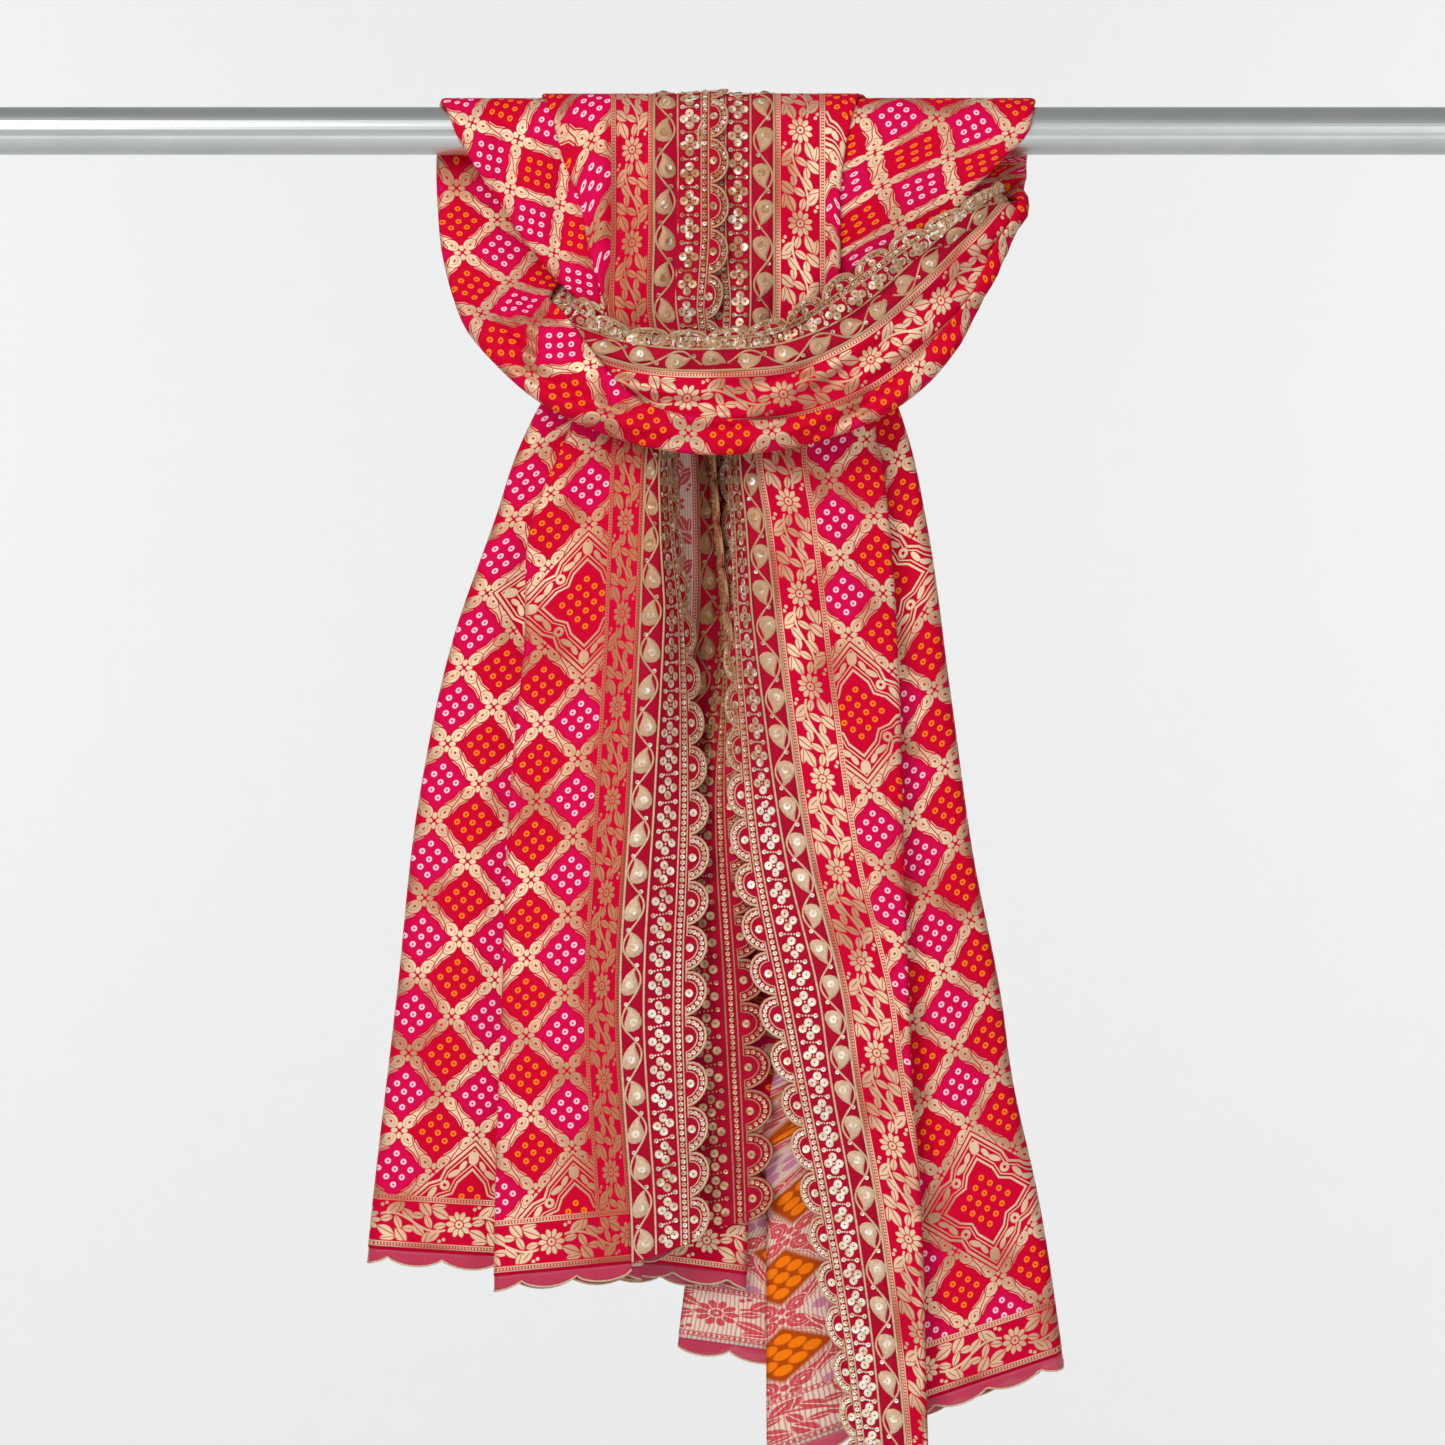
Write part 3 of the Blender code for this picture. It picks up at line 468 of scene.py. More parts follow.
@dataclass
class DrapedGrid:
    """The whole cloth as a fine grid of points, rows along it and columns across it."""

    path: StripPath = field(default_factory=StripPath)
    row_step: float = 7.3
    left_hem: tuple[float, ...] = (-737, -754, -763, -756, -745, -764, -750, -748, -746, -744, -738, -724)
    right_hem: tuple[float, ...] = (-900, -912, -919, -862, -812, -822, -816, -886, -822, -806, -808, -802)
    hem_marks: tuple[str, ...] = (
        "edge_a", "seam_a", "c1", "c2", "fold", "c4", "c5", "c6", "c7", "c8", "seam_b", "edge_b"
    )
    tail_tops: tuple[int, int] = (5, 13)
    right_end: float = 2224.0
    loop_shift: float = 0.0
    ruffle_depth: float = 7.0
    ruffle_wave: float = 33.0
    fold_depth: float = 4.2
    crease_depth: float = 2.2
    valley_depth: float = 0.7
    valley_width: float = 10.0
    valley_offset: float = 5.0
    panels: tuple[tuple[str, str], ...] = (("edge_a", "c1"), ("c2", "c4"), ("c5", "edge_b"))
    runs: tuple[tuple[str, str, int], ...] = (
        ("edge_a", "roll_a", 8), ("roll_a", "seam_a", 4), ("seam_a", "border", 8), ("border", "c1-", 10),
        ("c1-", "c1", 2), ("c1", "c1+", 2),
        ("c1+", "c2-", 12), ("c2-", "c2", 2), ("c2", "c2+", 2), ("c2+", "fold-", 28), ("fold-", "fold", 2),
        ("fold", "fold+", 2), ("fold+", "c4-", 20), ("c4-", "c4", 2), ("c4", "c4+", 2), ("c4+", "c5-", 12),
        ("c5-", "c5", 2), ("c5", "c5+", 2), ("c5+", "c6-", 4), ("c6-", "c6", 1), ("c6", "c6+", 1), ("c6+", "c7-", 4),
        ("c7-", "c7", 1), ("c7", "c7+", 1), ("c7+", "c8-", 6), ("c8-", "c8", 1), ("c8", "c8+", 1), ("c8+", "seam_b", 10),
        ("seam_b", "roll_b", 4), ("roll_b", "edge_b", 8),
    )

    def __post_init__(self) -> None:
        """Fills the grid's points, and u and v at each point."""
        points, across, named = self.columns()
        path = self.path
        right_first = len(path.knots) - len(RIGHT_TAIL)
        low, high = path.knots[self.tail_tops[0]], path.knots[right_first + self.tail_tops[1]]
        left = self.hem(named, points[:, np.searchsorted(path.places, path.knots[1])], self.left_hem)
        right = self.hem(named, points[:, np.searchsorted(path.places, path.knots[-2])], self.right_hem)
        before, after = path.places < low, path.places > high
        counts = [int(length / self.row_step) for length in (540, high - low, 130)]
        rows, vs = [], []
        for line, v, z_left, z_right in zip(points, across, left, right):
            start = np.interp(z_left, line[before, 2], path.places[before])
            end = np.interp(-z_right, -line[after, 2], path.places[after])
            wanted = np.concatenate([
                np.linspace(start, low, counts[0], endpoint=False),
                np.linspace(low, high, counts[1], endpoint=False),
                np.linspace(high, end, counts[2]),
            ])
            rows.append(np.stack([np.interp(wanted, path.places, line[:, axis]) for axis in range(3)], axis=1))
            vs.append(np.interp(wanted, path.places, v))
        self.points = np.array(rows).transpose(1, 0, 2)
        self.v = np.array(vs).T
        self.named = named
        mid = np.linspace(low, high, counts[1], endpoint=False)
        self.u = self.lengths(np.concatenate([np.full(counts[0], low), mid, np.full(counts[2], high)]))

    def lengths(self, places: Array) -> Array:
        """u at every point: its column's length so far, with the slack taken up behind the rail.

        In the loop every column of a panel has the panel's mean length, so a pattern isn't sheared
        where the strip turns.

        Args:
            places: Each row's place on the path.

        Returns:
            Rows by columns. The loop is moved along by loop_shift and the right tail so that its
            hem is at right_end.
        """
        steps = np.linalg.norm(np.diff(self.points, axis=0), axis=2)
        so_far = np.vstack([np.zeros((1, steps.shape[1])), np.cumsum(steps, axis=0)])
        spans = [(self.named[first], self.named[last]) for first, last in self.panels]
        means = np.stack([so_far[:, first : last + 1].mean(axis=1) for first, last in spans], axis=1)
        ends = [column for span in spans for column in span]
        shares = [np.interp(np.arange(steps.shape[1]), ends, np.repeat(row, 2)) for row in np.eye(len(spans))]
        panel = means @ np.stack(shares)
        knots, start, end = self.path.knots, self.path.loop_start, self.path.loop_end
        one = ease(places, knots[start - 4], knots[start + 1])[:, None]
        two = ease(places, knots[end - 4], knots[end + 2])[:, None]
        slack = self.right_end - so_far[-1] - self.loop_shift
        return so_far + (panel - so_far) * one * (1 - two) + self.loop_shift * one + slack * two

    def columns(self) -> tuple[Array, Array, dict[str, int]]:
        """Every column along the whole path.

        Returns:
            The columns' points, their v, and the column at each named mark.
        """
        section = Section(self.path)
        lines, across, named, behind = [], [], {self.runs[0][0]: 0}, False
        for start, end, steps in self.runs:
            for step in range(0 if not lines else 1, steps + 1):
                b, n, v = section.between(start, end, step / steps)
                n = n + self.swell(b, behind) + self.ruffle(v, behind)
                if start == "c2+":
                    n = n - self.valley(b)
                lines.append(self.path.surface(b, n))
                across.append(v)
            named[end] = len(lines) - 1
            behind = behind or end == "fold"
        points = np.array(lines)
        points[..., 1] += self.soft_folds(points)
        return points, np.array(across), named

    def valley(self, b: Array) -> Array:
        """How deep the side panel draws in beside the front panel's edge: a bell curve about it.

        Args:
            b: Distance from inner.

        Returns:
            Depth to take away, which is nothing where the layers lie close together.
        """
        path = self.path
        beside = (b - path.marks[2] - self.valley_offset) / self.valley_width
        return self.valley_depth * path.pitch * ease(path.pitch, 2.6, 4.2) * np.exp(-beside * beside)

    def swell(self, b: Array, behind: bool) -> Array:
        """Depth of the soft form: a belly of sin^0.8 over the width, and the parted inner side.

        Args:
            b: Distance from inner.
            behind: Whether the layer is in the back half.

        Returns:
            Depth to add. In the loop the belly swells the other way.
        """
        share = b / self.path.width
        belly = self.path.belly * np.sin(math.pi * np.clip(share, 0, 1)) ** 0.8
        parting = self.path.parting * (1 - np.clip(share, -0.2, 1))
        return np.where(self.path.in_loop, -belly, belly) - (parting if behind else 0) + self.wrinkles(b)

    def wrinkles(self, b: Array) -> Array:
        """Depth of the creases that run along the strip where it is bundled: two slanting sines.

        Args:
            b: Distance from inner.

        Returns:
            Depth to add, the same for every layer, fading out along both tails.
        """
        places, knots = self.path.places, self.path.knots
        start, end = self.path.loop_start, self.path.loop_end
        loop = ease(places, knots[start + 3], knots[start + 5]) * (1 - ease(places, knots[end - 6], knots[end - 5]))
        tops = ease(places, knots[8], knots[10]) * (1 - ease(places, knots[13], knots[16]))
        tops = tops + ease(places, knots[-14], knots[-12]) * (1 - ease(places, knots[-10], knots[-8]))
        slant = np.sin(2 * math.pi * (b / 23 + places / 170)) + 0.6 * np.sin(2 * math.pi * (b / 14 - places / 230))
        down = np.sin(2 * math.pi * b / 41 + 0.5 + places / 60) + 0.5 * np.sin(2 * math.pi * b / 19 + 1.7)
        return self.crease_depth * (slant * loop + down * tops)

    def ruffle(self, v: Array, behind: bool) -> Array:
        """Waves of the lace's free edge: half a raised sine along the path, fading inwards.

        Args:
            v: Place across the flat cloth.
            behind: Whether the layer is in the back half.

        Returns:
            Depth to add. The back lace is gathered where the loop crosses the front.
        """
        places, knots, start = self.path.places, self.path.knots, self.path.loop_start
        if behind:
            edge = ease(v, CLOTH_WIDTH - 74, CLOTH_WIDTH)
            window = ease(places, knots[start + 4], knots[start + 6])
            window = window * (1 - ease(places, knots[start + 11], knots[start + 14]))
            wave = np.sin(2 * math.pi * places / self.ruffle_wave + 1.3 * np.sin(places / 47))
            return -self.ruffle_depth * window * edge * (0.55 + 0.45 * wave)
        edge = 1 - ease(v, 0, 50)
        tails = 1 - ease(places, knots[2], knots[6]) + ease(places, knots[-6], knots[-3])
        return 1.6 * tails * edge * np.sin(2 * math.pi * places / 61 + 0.8)

    def soft_folds(self, points: Array) -> Array:
        """Shallow folds of both tails, the same for every layer.

        Args:
            points: Columns by places by 3.

        Returns:
            Depth along Y: two sines of the angle about the gather, growing with the distance
            below it.
        """
        x, z = points[..., 0], points[..., 2]
        angle = np.arctan2(x - 5, -(z + 120))
        reach = 0.35 * ease(-z, 200, 250) + 0.65 * ease(-z, 235, 560)
        return self.fold_depth * reach * (np.sin(11 * angle + 0.9) + 0.5 * np.sin(27 * angle + 2.0 + z / 130))

    def hem(self, named: Mapping[str, int], line: Array, heights: Sequence[float]) -> Array:
        """The hem's height at every column, straight between its heights at the named marks.

        Args:
            named: The column at each mark.
            line: The points across the tail near its end.
            heights: The hem's height at each of hem_marks.

        Returns:
            One height for each column.
        """
        across = np.concatenate([[0], np.cumsum(np.linalg.norm(np.diff(line, axis=0), axis=1))])
        return np.interp(across, across[[named[name] for name in self.hem_marks]], heights)


@dataclass(frozen=True)
class Term:
    """A number in a material's node tree, which adds and multiplies like any number."""

    graph: Graph
    socket: bpy.types.NodeSocket

    def __add__(self, other: Term | float) -> Term:
        """The sum."""
        return self.graph.math("ADD", self, other)

    __radd__ = __add__

    def __sub__(self, other: Term | float) -> Term:
        """The difference."""
        return self.graph.math("SUBTRACT", self, other)

    def __rsub__(self, other: float) -> Term:
        """The difference from a plain number."""
        return self.graph.math("SUBTRACT", other, self)

    def __mul__(self, other: Term | float) -> Term:
        """The product."""
        return self.graph.math("MULTIPLY", self, other)

    __rmul__ = __mul__

    def scaled(self, factor: float, offset: Term | float = 0.0) -> Term:
        """This times a factor, plus an offset."""
        return self.graph.math("MULTIPLY_ADD", self, factor, offset)

    def size(self) -> Term:
        """Its size without its sign."""
        return self.graph.math("ABSOLUTE", self)

    def low(self, other: Term | float) -> Term:
        """The smaller of the two."""
        return self.graph.math("MINIMUM", self, other)

    def high(self, other: Term | float) -> Term:
        """The larger of the two."""
        return self.graph.math("MAXIMUM", self, other)

    def to_grid(self, half: float) -> Term:
        """Distance to the nearest whole multiple of twice the half step."""
        return self.graph.math("PINGPONG", self, half)

    def whole(self) -> Term:
        """Rounded down."""
        return self.graph.math("FLOOR", self)

    def nearest(self) -> Term:
        """Rounded to the nearest whole number."""
        return self.graph.math("ROUND", self)

    def sine(self) -> Term:
        """Its sine."""
        return self.graph.math("SINE", self)

    def hypotenuse(self, other: Term) -> Term:
        """The root of the sum of the two squares."""
        return self.graph.math("SQRT", self.graph.math("MULTIPLY_ADD", self, self, other * other))

    def under(self, limit: Term | float, soft: float = 0.3) -> Term:
        """A mask that is 1 below the limit and 0 above it, with an edge of the soft width."""
        if isinstance(limit, Term):
            return self.graph.math("MULTIPLY_ADD", limit - self, 1 / soft, 0.5, clamp=True)
        return self.graph.math("MULTIPLY_ADD", self, -1 / soft, limit / soft + 0.5, clamp=True)

    def over(self, limit: float, soft: float = 0.3) -> Term:
        """A mask that is 1 above the limit and 0 below it, with an edge of the soft width."""
        return self.graph.math("MULTIPLY_ADD", self, 1 / soft, 0.5 - limit / soft, clamp=True)

    def inverse(self) -> Term:
        """The mask turned round: 1 less this."""
        return self.graph.math("SUBTRACT", 1.0, self)


class Graph:
    """A material's node tree and its shader."""

    def __init__(self, name: str) -> None:
        """Starts an empty material.

        Args:
            name: The material's name.
        """
        self.material = bpy.data.materials.new(name)
        self.material.use_nodes = True
        self.tree = self.material.node_tree
        self.tree.nodes.clear()

    def add(self, kind: str, links: Mapping[str | int, object], **settings: object) -> bpy.types.Node:
        """Adds a node with its settings and links.

        Args:
            kind: The node's type.
            links: For each input, a term or socket to link, or a value to set.
            settings: The node's own properties.

        Returns:
            The node.
        """
        node = self.tree.nodes.new(kind)
        for key, value in settings.items():
            setattr(node, key, value)
        for key, value in links.items():
            if isinstance(value, Term):
                value = value.socket
            if isinstance(value, bpy.types.NodeSocket):
                self.tree.links.new(value, node.inputs[key])
            else:
                node.inputs[key].default_value = value
        return node

    def math(self, operation: str, *values: Term | float, clamp: bool = False) -> Term:
        """One sum of terms and plain numbers."""
        node = self.add("ShaderNodeMath", dict(enumerate(values)), operation=operation, use_clamp=clamp)
        return Term(self, node.outputs[0])

    def term(self, socket: bpy.types.NodeSocket) -> Term:
        """A socket as a number."""
        return Term(self, socket)

    def flat_cloth(self, layer: str = "cloth") -> tuple[Term, Term]:
        """u and v in millimetres, from the piece's own UV map, which holds metres."""
        uv = self.add("ShaderNodeUVMap", {}, uv_map=layer)
        parts = self.add("ShaderNodeSeparateXYZ", {0: uv.outputs[0]})
        return self.term(parts.outputs[0]) * 1000.0, self.term(parts.outputs[1]) * 1000.0

    def place(self) -> bpy.types.NodeSocket:
        """The place on the object, in metres."""
        return self.add("ShaderNodeTexCoord", {}).outputs["Object"]

    def noise(self, where: bpy.types.NodeSocket, scale: float, detail: float = 3.0) -> Term:
        """Cloudy variation from 0 to 1, so many features to the metre."""
        node = self.add("ShaderNodeTexNoise", {"Vector": where, "Scale": scale, "Detail": detail})
        return self.term(node.outputs[0])

    def mix(self, share: Term | float, low: object, high: object) -> bpy.types.NodeSocket:
        """A colour between two colours."""
        links = {"Factor": share, "A": low, "B": high}
        node = self.tree.nodes.new("ShaderNodeMix")
        node.data_type = "RGBA"
        sockets = {"Factor": node.inputs[0], "A": node.inputs[6], "B": node.inputs[7]}
        for key, value in links.items():
            if isinstance(value, Term):
                value = value.socket
            if isinstance(value, bpy.types.NodeSocket):
                self.tree.links.new(value, sockets[key])
            else:
                sockets[key].default_value = value
        return node.outputs[2]

    def bump(self, height: Term, distance: float, strength: float = 1.0) -> bpy.types.NodeSocket:
        """A normal raised by the height, which is in units of the distance in metres."""
        links = {"Height": height, "Distance": distance, "Strength": strength}
        return self.add("ShaderNodeBump", links).outputs[0]

    def shade(self, links: Mapping[str, object]) -> bpy.types.Material:
        """Ends the material in one Principled shader.

        Args:
            links: The shader's inputs.

        Returns:
            The material.
        """
        shader = self.add("ShaderNodeBsdfPrincipled", links)
        self.add("ShaderNodeOutputMaterial", {"Surface": shader.outputs[0]})
        return self.material


@dataclass(frozen=True)
class Motifs:
    """The woven motifs as masks: 1 on the motif and 0 beside it."""

    gold: Term
    white_dots: Term
    orange_dots: Term
    knots: Term
    orange: Term
    pink_ground: Term
    deep_ground: Term


@dataclass(frozen=True)
class BandhaniPattern:
    """The cloth's woven and tied pattern, in millimetres of the flat cloth.

    A diagonal lattice of gold has a node every 52 mm along and across: four small petals, and
    four leaves whose tails wind round the next node's in a long S. The
    diamonds between hold nine tied rings, white on pink and orange on red in turn. Large stepped
    medallions with sixteen orange rings stand on a node every 416 mm. A gold scroll with
    dotted lines runs beside each lace, and across each end.
    """

    half_cell: float = LATTICE / math.sqrt(8)
    ring_step: float = 7.4
    medallion_step: float = 416.0
    medallion_columns: float = 260.0
    scroll_step: float = 62.0
    leaves: tuple[tuple[tuple[float, float], tuple[float, float], float], ...] = (
        ((13.0, 6.6), (6.6, 3.2), 24),
        ((14.8, 11.2), (5.4, 2.4), -8),
        ((12.8, -1.6), (4.6, 2.2), -14),
        ((16.6, -8.4), (6.2, 2.9), -46),
        ((20.8, 0.6), (5.2, 2.3), 62),
        ((21.4, -10.6), (5.2, 2.6), -74),
        ((23.6, 9.6), (6.6, 3.4), 52),
        ((27.4, -4.6), (6.4, 2.9), 40),
        ((28.6, 4.6), (4.8, 2.3), 4),
    )

    def ellipse(self, x: Term, y: Term, centre: tuple[float, float], radii: tuple[float, float], turn: float = 0.0) -> Term:
        """A filled ellipse: 1 - (x'/a)^2 - (y'/b)^2 over 0, with x' and y' turned about its centre.

        Args:
            x: First coordinate.
            y: Second coordinate.
            centre: The ellipse's middle.
            radii: Half its length and half its width.
            turn: Angle of its length from the first coordinate, in degrees.

        Returns:
            The mask.
        """
        c, s = math.cos(math.radians(turn)), math.sin(math.radians(turn))
        a, b = radii
        if turn:
            along = x.scaled(c / a, y.scaled(s / a, -(c * centre[0] + s * centre[1]) / a))
            beside = x.scaled(-s / b, y.scaled(c / b, (s * centre[0] - c * centre[1]) / b))
        else:
            along = x.scaled(1 / a, -centre[0] / a)
            beside = y.scaled(1 / b, -centre[1] / b)
        total = x.graph.math("MULTIPLY_ADD", along, along, beside * beside)
        return total.under(1.0, 0.35)

    def leaf(self, x: Term, y: Term, centre: tuple[float, float], radii: tuple[float, float], turn: float) -> Term:
        """A pointed leaf with a vein: 1 - (x'/a)^2 - |y'|/b over 0, less a thin line along it.

        Args:
            x: First coordinate.
            y: Second coordinate.
            centre: The leaf's middle.
            radii: Half its length and half its width.
            turn: Angle of its length from the first coordinate, in degrees.

        Returns:
            The mask.
        """
        c, s = math.cos(math.radians(turn)), math.sin(math.radians(turn))
        a, b = radii
        along = x.scaled(c / a, y.scaled(s / a, -(c * centre[0] + s * centre[1]) / a))
        beside = x.scaled(-s / b, y.scaled(c / b, (s * centre[0] - c * centre[1]) / b)).size()
        return x.graph.math("MULTIPLY_ADD", along, along, beside).under(1.0, 0.25) * beside.over(0.1, 0.1)

    def scroll(self, along: Term, across: Term) -> Term:
        """The gold scroll border, 35 mm wide: lotuses, leaf sprays and buds between dotted lines.

        Args:
            along: Distance along the border.
            across: Distance across it, from 0 to 35.

        Returns:
            The mask. Each half of a repeat is the other half turned about the lotus, which has
            ten petals: radius 5.6 + 3.1 |cos 5t|, parted where the cosine is near 0.
        """
        g = along.graph
        s = along.scaled(1 / self.scroll_step)
        s = (s - s.nearest()) * self.scroll_step
        x = s.size()
        y = (across - 17.5) * g.math("SIGN", s)
        r = x.hypotenuse(y)
        petals = g.math("COSINE", g.math("ARCTAN2", y, x) * 5.0).size()
        flower = r.under(petals.scaled(3.1, 5.6), 0.5) * (petals * r).over(1.3, 0.8)
        flower = flower * (r - 2.9).size().over(0.4)
        flower = flower.high(r.under(2.4)) * r.over(0.8)
        leaves = self.leaf(x, y, *self.leaves[0])
        for shape in self.leaves[1:]:
            leaves = leaves.high(self.leaf(x, y, *shape))
        berries = self.ellipse(x, y, (9.4, -10.6), (1.2, 1.2)).high(self.ellipse(x, y, (12.2, -12.0), (1.2, 1.2)))
        leaves = leaves.high(berries)
        curve = (x * (2 * math.pi / self.scroll_step)).sine() * -5.5
        stem = (y - curve).size().under(0.75) * x.over(8.8)
        edge = across.low(35.0 - across)
        rail = (edge - 1.95).size()
        lines = (rail - 1.45).size().under(0.36)
        dots = rail.under(0.8) * along.to_grid(1.05).under(0.62)
        inside = edge.over(4.6)
        return (flower.high(leaves).high(stem) * inside).high(lines.high(dots)) * edge.over(0.1)

    def motifs(self, u: Term, v: Term) -> Motifs:
        """Every motif of the cloth at u along it and v across it.

        Args:
            u: Millimetres from the left hem.
            v: Millimetres from the front lace's edge.

        Returns:
            The masks.
        """
        g = u.graph
        step = self.half_cell * 2
        uu, vv = u - MEDALLION_START, v - LATTICE_START
        a, b = (uu + vv) * (1 / LATTICE), (uu - vv) * (1 / LATTICE)
        sa, sb = (a - a.nearest()) * step, (b - b.nearest()) * step
        fa, fb = sa.size(), sb.size()
        near, far = fa.low(fb), fa.high(fb)
        y = near * g.math("SIGN", sa * sb)

        head = far.scaled(1 / 5.2, -8.8 / 5.2).hypotenuse(near * (1 / 4.0))
        band = head.under(1.0, 0.1).high(near.under(far.scaled(-0.2, 5.6)) * far.over(9.4))
        swing = (far - 9.4).high(0.0) * (1 / 9.0)
        split = y - (swing - 1.0) * (2.0 - swing) * 1.7
        lines = (split.size().under(0.34) * far.over(9.0)).high((head - 1.0).size().under(0.05, 0.08) * far.over(10.5))
        almond = far.scaled(1 / 3.4, -8.6 / 3.4).hypotenuse(y.scaled(1 / 2.0, 0.15))
        eye = ((almond - 1.0).size().under(0.05, 0.08) * y.over(-0.6)).high(almond.under(0.34, 0.12))
        petal = self.ellipse(far, near, (2.4, 2.4), (2.2, 1.6), 45)
        hair = (near - far.scaled(-0.2, 6.6)).size().under(0.24) * far.over(12.0)
        lattice = (band * lines.high(eye).inverse()).high(petal).high(hair)

        mirrored = vv.over(325.0, 0.01)
        u_half = uu + mirrored * (LATTICE / 2)
        v_half = vv.low(650.0 - vv)
        du = u_half * (1 / self.medallion_step)
        du = (du - du.nearest()) * self.medallion_step
        dv = v_half - (v_half * (1 / self.medallion_columns)).nearest() * self.medallion_columns
        p, q = (du + dv) * math.sqrt(0.5), (du - dv) * math.sqrt(0.5)
        ps, qs = p.size(), q.size()
        w, t = ps.high(qs), ps.low(qs)
        stepped = w + t.scaled(-0.45, 3.4).high(0.0)
        inside = w.under(34.5, 0.2)
        heart = stepped.under(19.0)
        rings_round = (stepped - 32.6).size().under(0.85).high((stepped - 20.4).size().under(0.7))
        thin = (stepped - 29.9).size().under(0.4).high((stepped - 23.0).size().under(0.4))
        rosette = self.ellipse(w, t, (24.6, 0.0), (3.3, 3.3)) * self.ellipse(w, t, (24.6, 0.0), (1.2, 1.2)).inverse()
        sprig = self.ellipse(w, t, (26.4, 9.5), (1.9, 4.6), 12).high(self.ellipse(w, t, (26.4, 17.2), (1.7, 3.8), -14))
        corner = self.ellipse(w, t, (26.5, 25.0), (4.2, 2.3), 45)
        frame = rings_round.high(thin).high(rosette).high(sprig).high(corner)

        edge = (v - LACE_WIDTH).low((CLOTH_WIDTH - LACE_WIDTH) - v)
        hem = u.low(u.graph.math("SUBTRACT", 2224.0, u))
        in_hem = hem.under(END_BAND, 0.1)
        in_side = edge.under(BORDER_WIDTH, 0.1)
        banded = in_hem.high(in_side)

        cell_p = (a - a.whole() - 0.5) * step
        cell_q = (b - b.whole() - 0.5) * step
        grid_p = cell_p + (p + self.ring_step / 2 - cell_p) * inside
        grid_q = cell_q + (q + self.ring_step / 2 - cell_q) * inside
        half = self.ring_step / 2
        spot = grid_p.to_grid(half).hypotenuse(grid_q.to_grid(half))
        ring = (spot - 1.35).size().under(0.62, 0.35)
        cell = cell_p.size().high(cell_q.size())
        near_cell = cell.under(self.ring_step * 1.45, 0.2) * inside.inverse()
        near_heart = w.under(self.ring_step * 1.95, 0.2) * inside
        tied = near_cell.high(near_heart) * (1.0 - banded)
        dots = ring * tied
        parity = (a.whole() - b.whole()) * 0.5
        odd = (parity - parity.whole()) * 2.0
        orange = odd.high(inside)

        along = u + (v - u) * in_hem
        across = edge + (hem - (END_BAND - BORDER_WIDTH) - edge) * in_hem
        scroll = self.scroll(along, across)
        field_gold = lattice + (frame - lattice) * inside
        gold = field_gold + (scroll - field_gold) * banded
        plain = banded.inverse()
        ground = cell.under(13.5, 2.5) * inside.inverse() * plain
        return Motifs(
            gold=gold,
            white_dots=dots * orange.inverse(),
            orange_dots=dots * orange,
            knots=spot.under(3.3, 0.8) * tied,
            orange=orange,
            pink_ground=ground * odd.inverse(),
            deep_ground=(ground * odd).high(heart * inside * plain),
        )


@dataclass(frozen=True)
class WovenGeorgette:
    """Crimson georgette with gold zari weft: fine crepe grain, and metal threads that catch light."""

    face: ClothFace
    red: str = "da0339"
    dark_red: str = "c2012b"
    pink: str = "dc0850"
    deep: str = "d6042c"
    gold: str = "f0d6b2"
    bronze: str = "a8673e"
    white: str = "ffd0e0"
    orange: str = "ff8412"
    cream: str = "ecd6c4"

    def build(self) -> bpy.types.Material:
        """The material of one face of the cloth.

        Returns:
            The right side shows gold motifs on red, the zari paler or bronzed in patches a few
            centimetres wide, with the twill's 1.25 mm hatch. Down the left tail's border beside
            the front lace the zari is bronzed further as painted shade, where that border tilts
            away from the light. On the wrong side the zari floats loose between the motifs, so
            pale threads fill what is plain on the right side, and the tied rings show as knots
            of orange and rose silk.
        """
        g = Graph("georgette " + self.face.value)
        u, v = g.flat_cloth()
        m = BandhaniPattern().motifs(u, v)
        place = g.place()
        cloud = g.noise(place, 9.0, 2.0)
        hatch = ((u + v) * (2 * math.pi / 1.25)).sine()
        crepe = g.noise(place, 1400.0, 1.0)
        red = g.mix(cloud, linear(self.red), linear(self.dark_red))
        if self.face is ClothFace.RIGHT_SIDE:
            colour = g.mix(m.pink_ground * 0.85, red, linear(self.pink))
            colour = g.mix(m.deep_ground * 0.5, colour, linear(self.deep))
            # Painted shade: the zari on the left tail's border beside the front lace is bronzed, standing in for the
            # shade where that border tilts away from the light.
            seam = v.under(112.0, 40.0) * u.under(760.0, 120.0)
            tone = g.noise(place, 19.0, 1.0).over(0.56, 0.22) * 0.75
            zari = g.mix(hatch.scaled(0.2, 0.2), linear(self.gold), linear("d9a880"))
            zari = g.mix(tone.high(seam * 0.85), zari, linear(self.bronze))
            colour = g.mix(m.gold, colour, zari)
            colour = g.mix(m.white_dots, colour, linear(self.white))
            colour = g.mix(m.orange_dots, colour, linear(self.orange))
            height = crepe.scaled(0.35, m.gold.scaled(0.5)) + hatch * m.gold * 0.2
            metal = m.gold * 0.45
            rough = m.gold.scaled(-0.2, 0.65)
        else:
            floats = (v * (2 * math.pi / 1.7) + g.noise(place, 160.0, 2.0) * 5.0).sine().over(-0.55, 0.7)
            loose = m.gold.scaled(-0.85, 1.0) * floats.scaled(0.6, 0.4)
            colour = g.mix(loose, red, linear(self.cream))
            colour = g.mix(m.deep_ground * m.orange, colour, linear("b84a0c"))
            knots = m.knots * m.orange
            colour = g.mix(knots, colour, linear("fb7e0e"))
            colour = g.mix(m.knots * m.orange.inverse() * 0.7, colour, linear("c85a9c"))
            height = crepe.scaled(0.35, loose.scaled(0.6)) + knots * 0.5
            metal = loose * 0.15
            rough = loose.scaled(-0.1, 0.66)
        return g.shade({
            "Base Color": colour,
            "Metallic": metal,
            "Roughness": rough,
            "Specular IOR Level": 0.04,
            "Normal": g.bump(height, 0.0004, 0.5),
        })


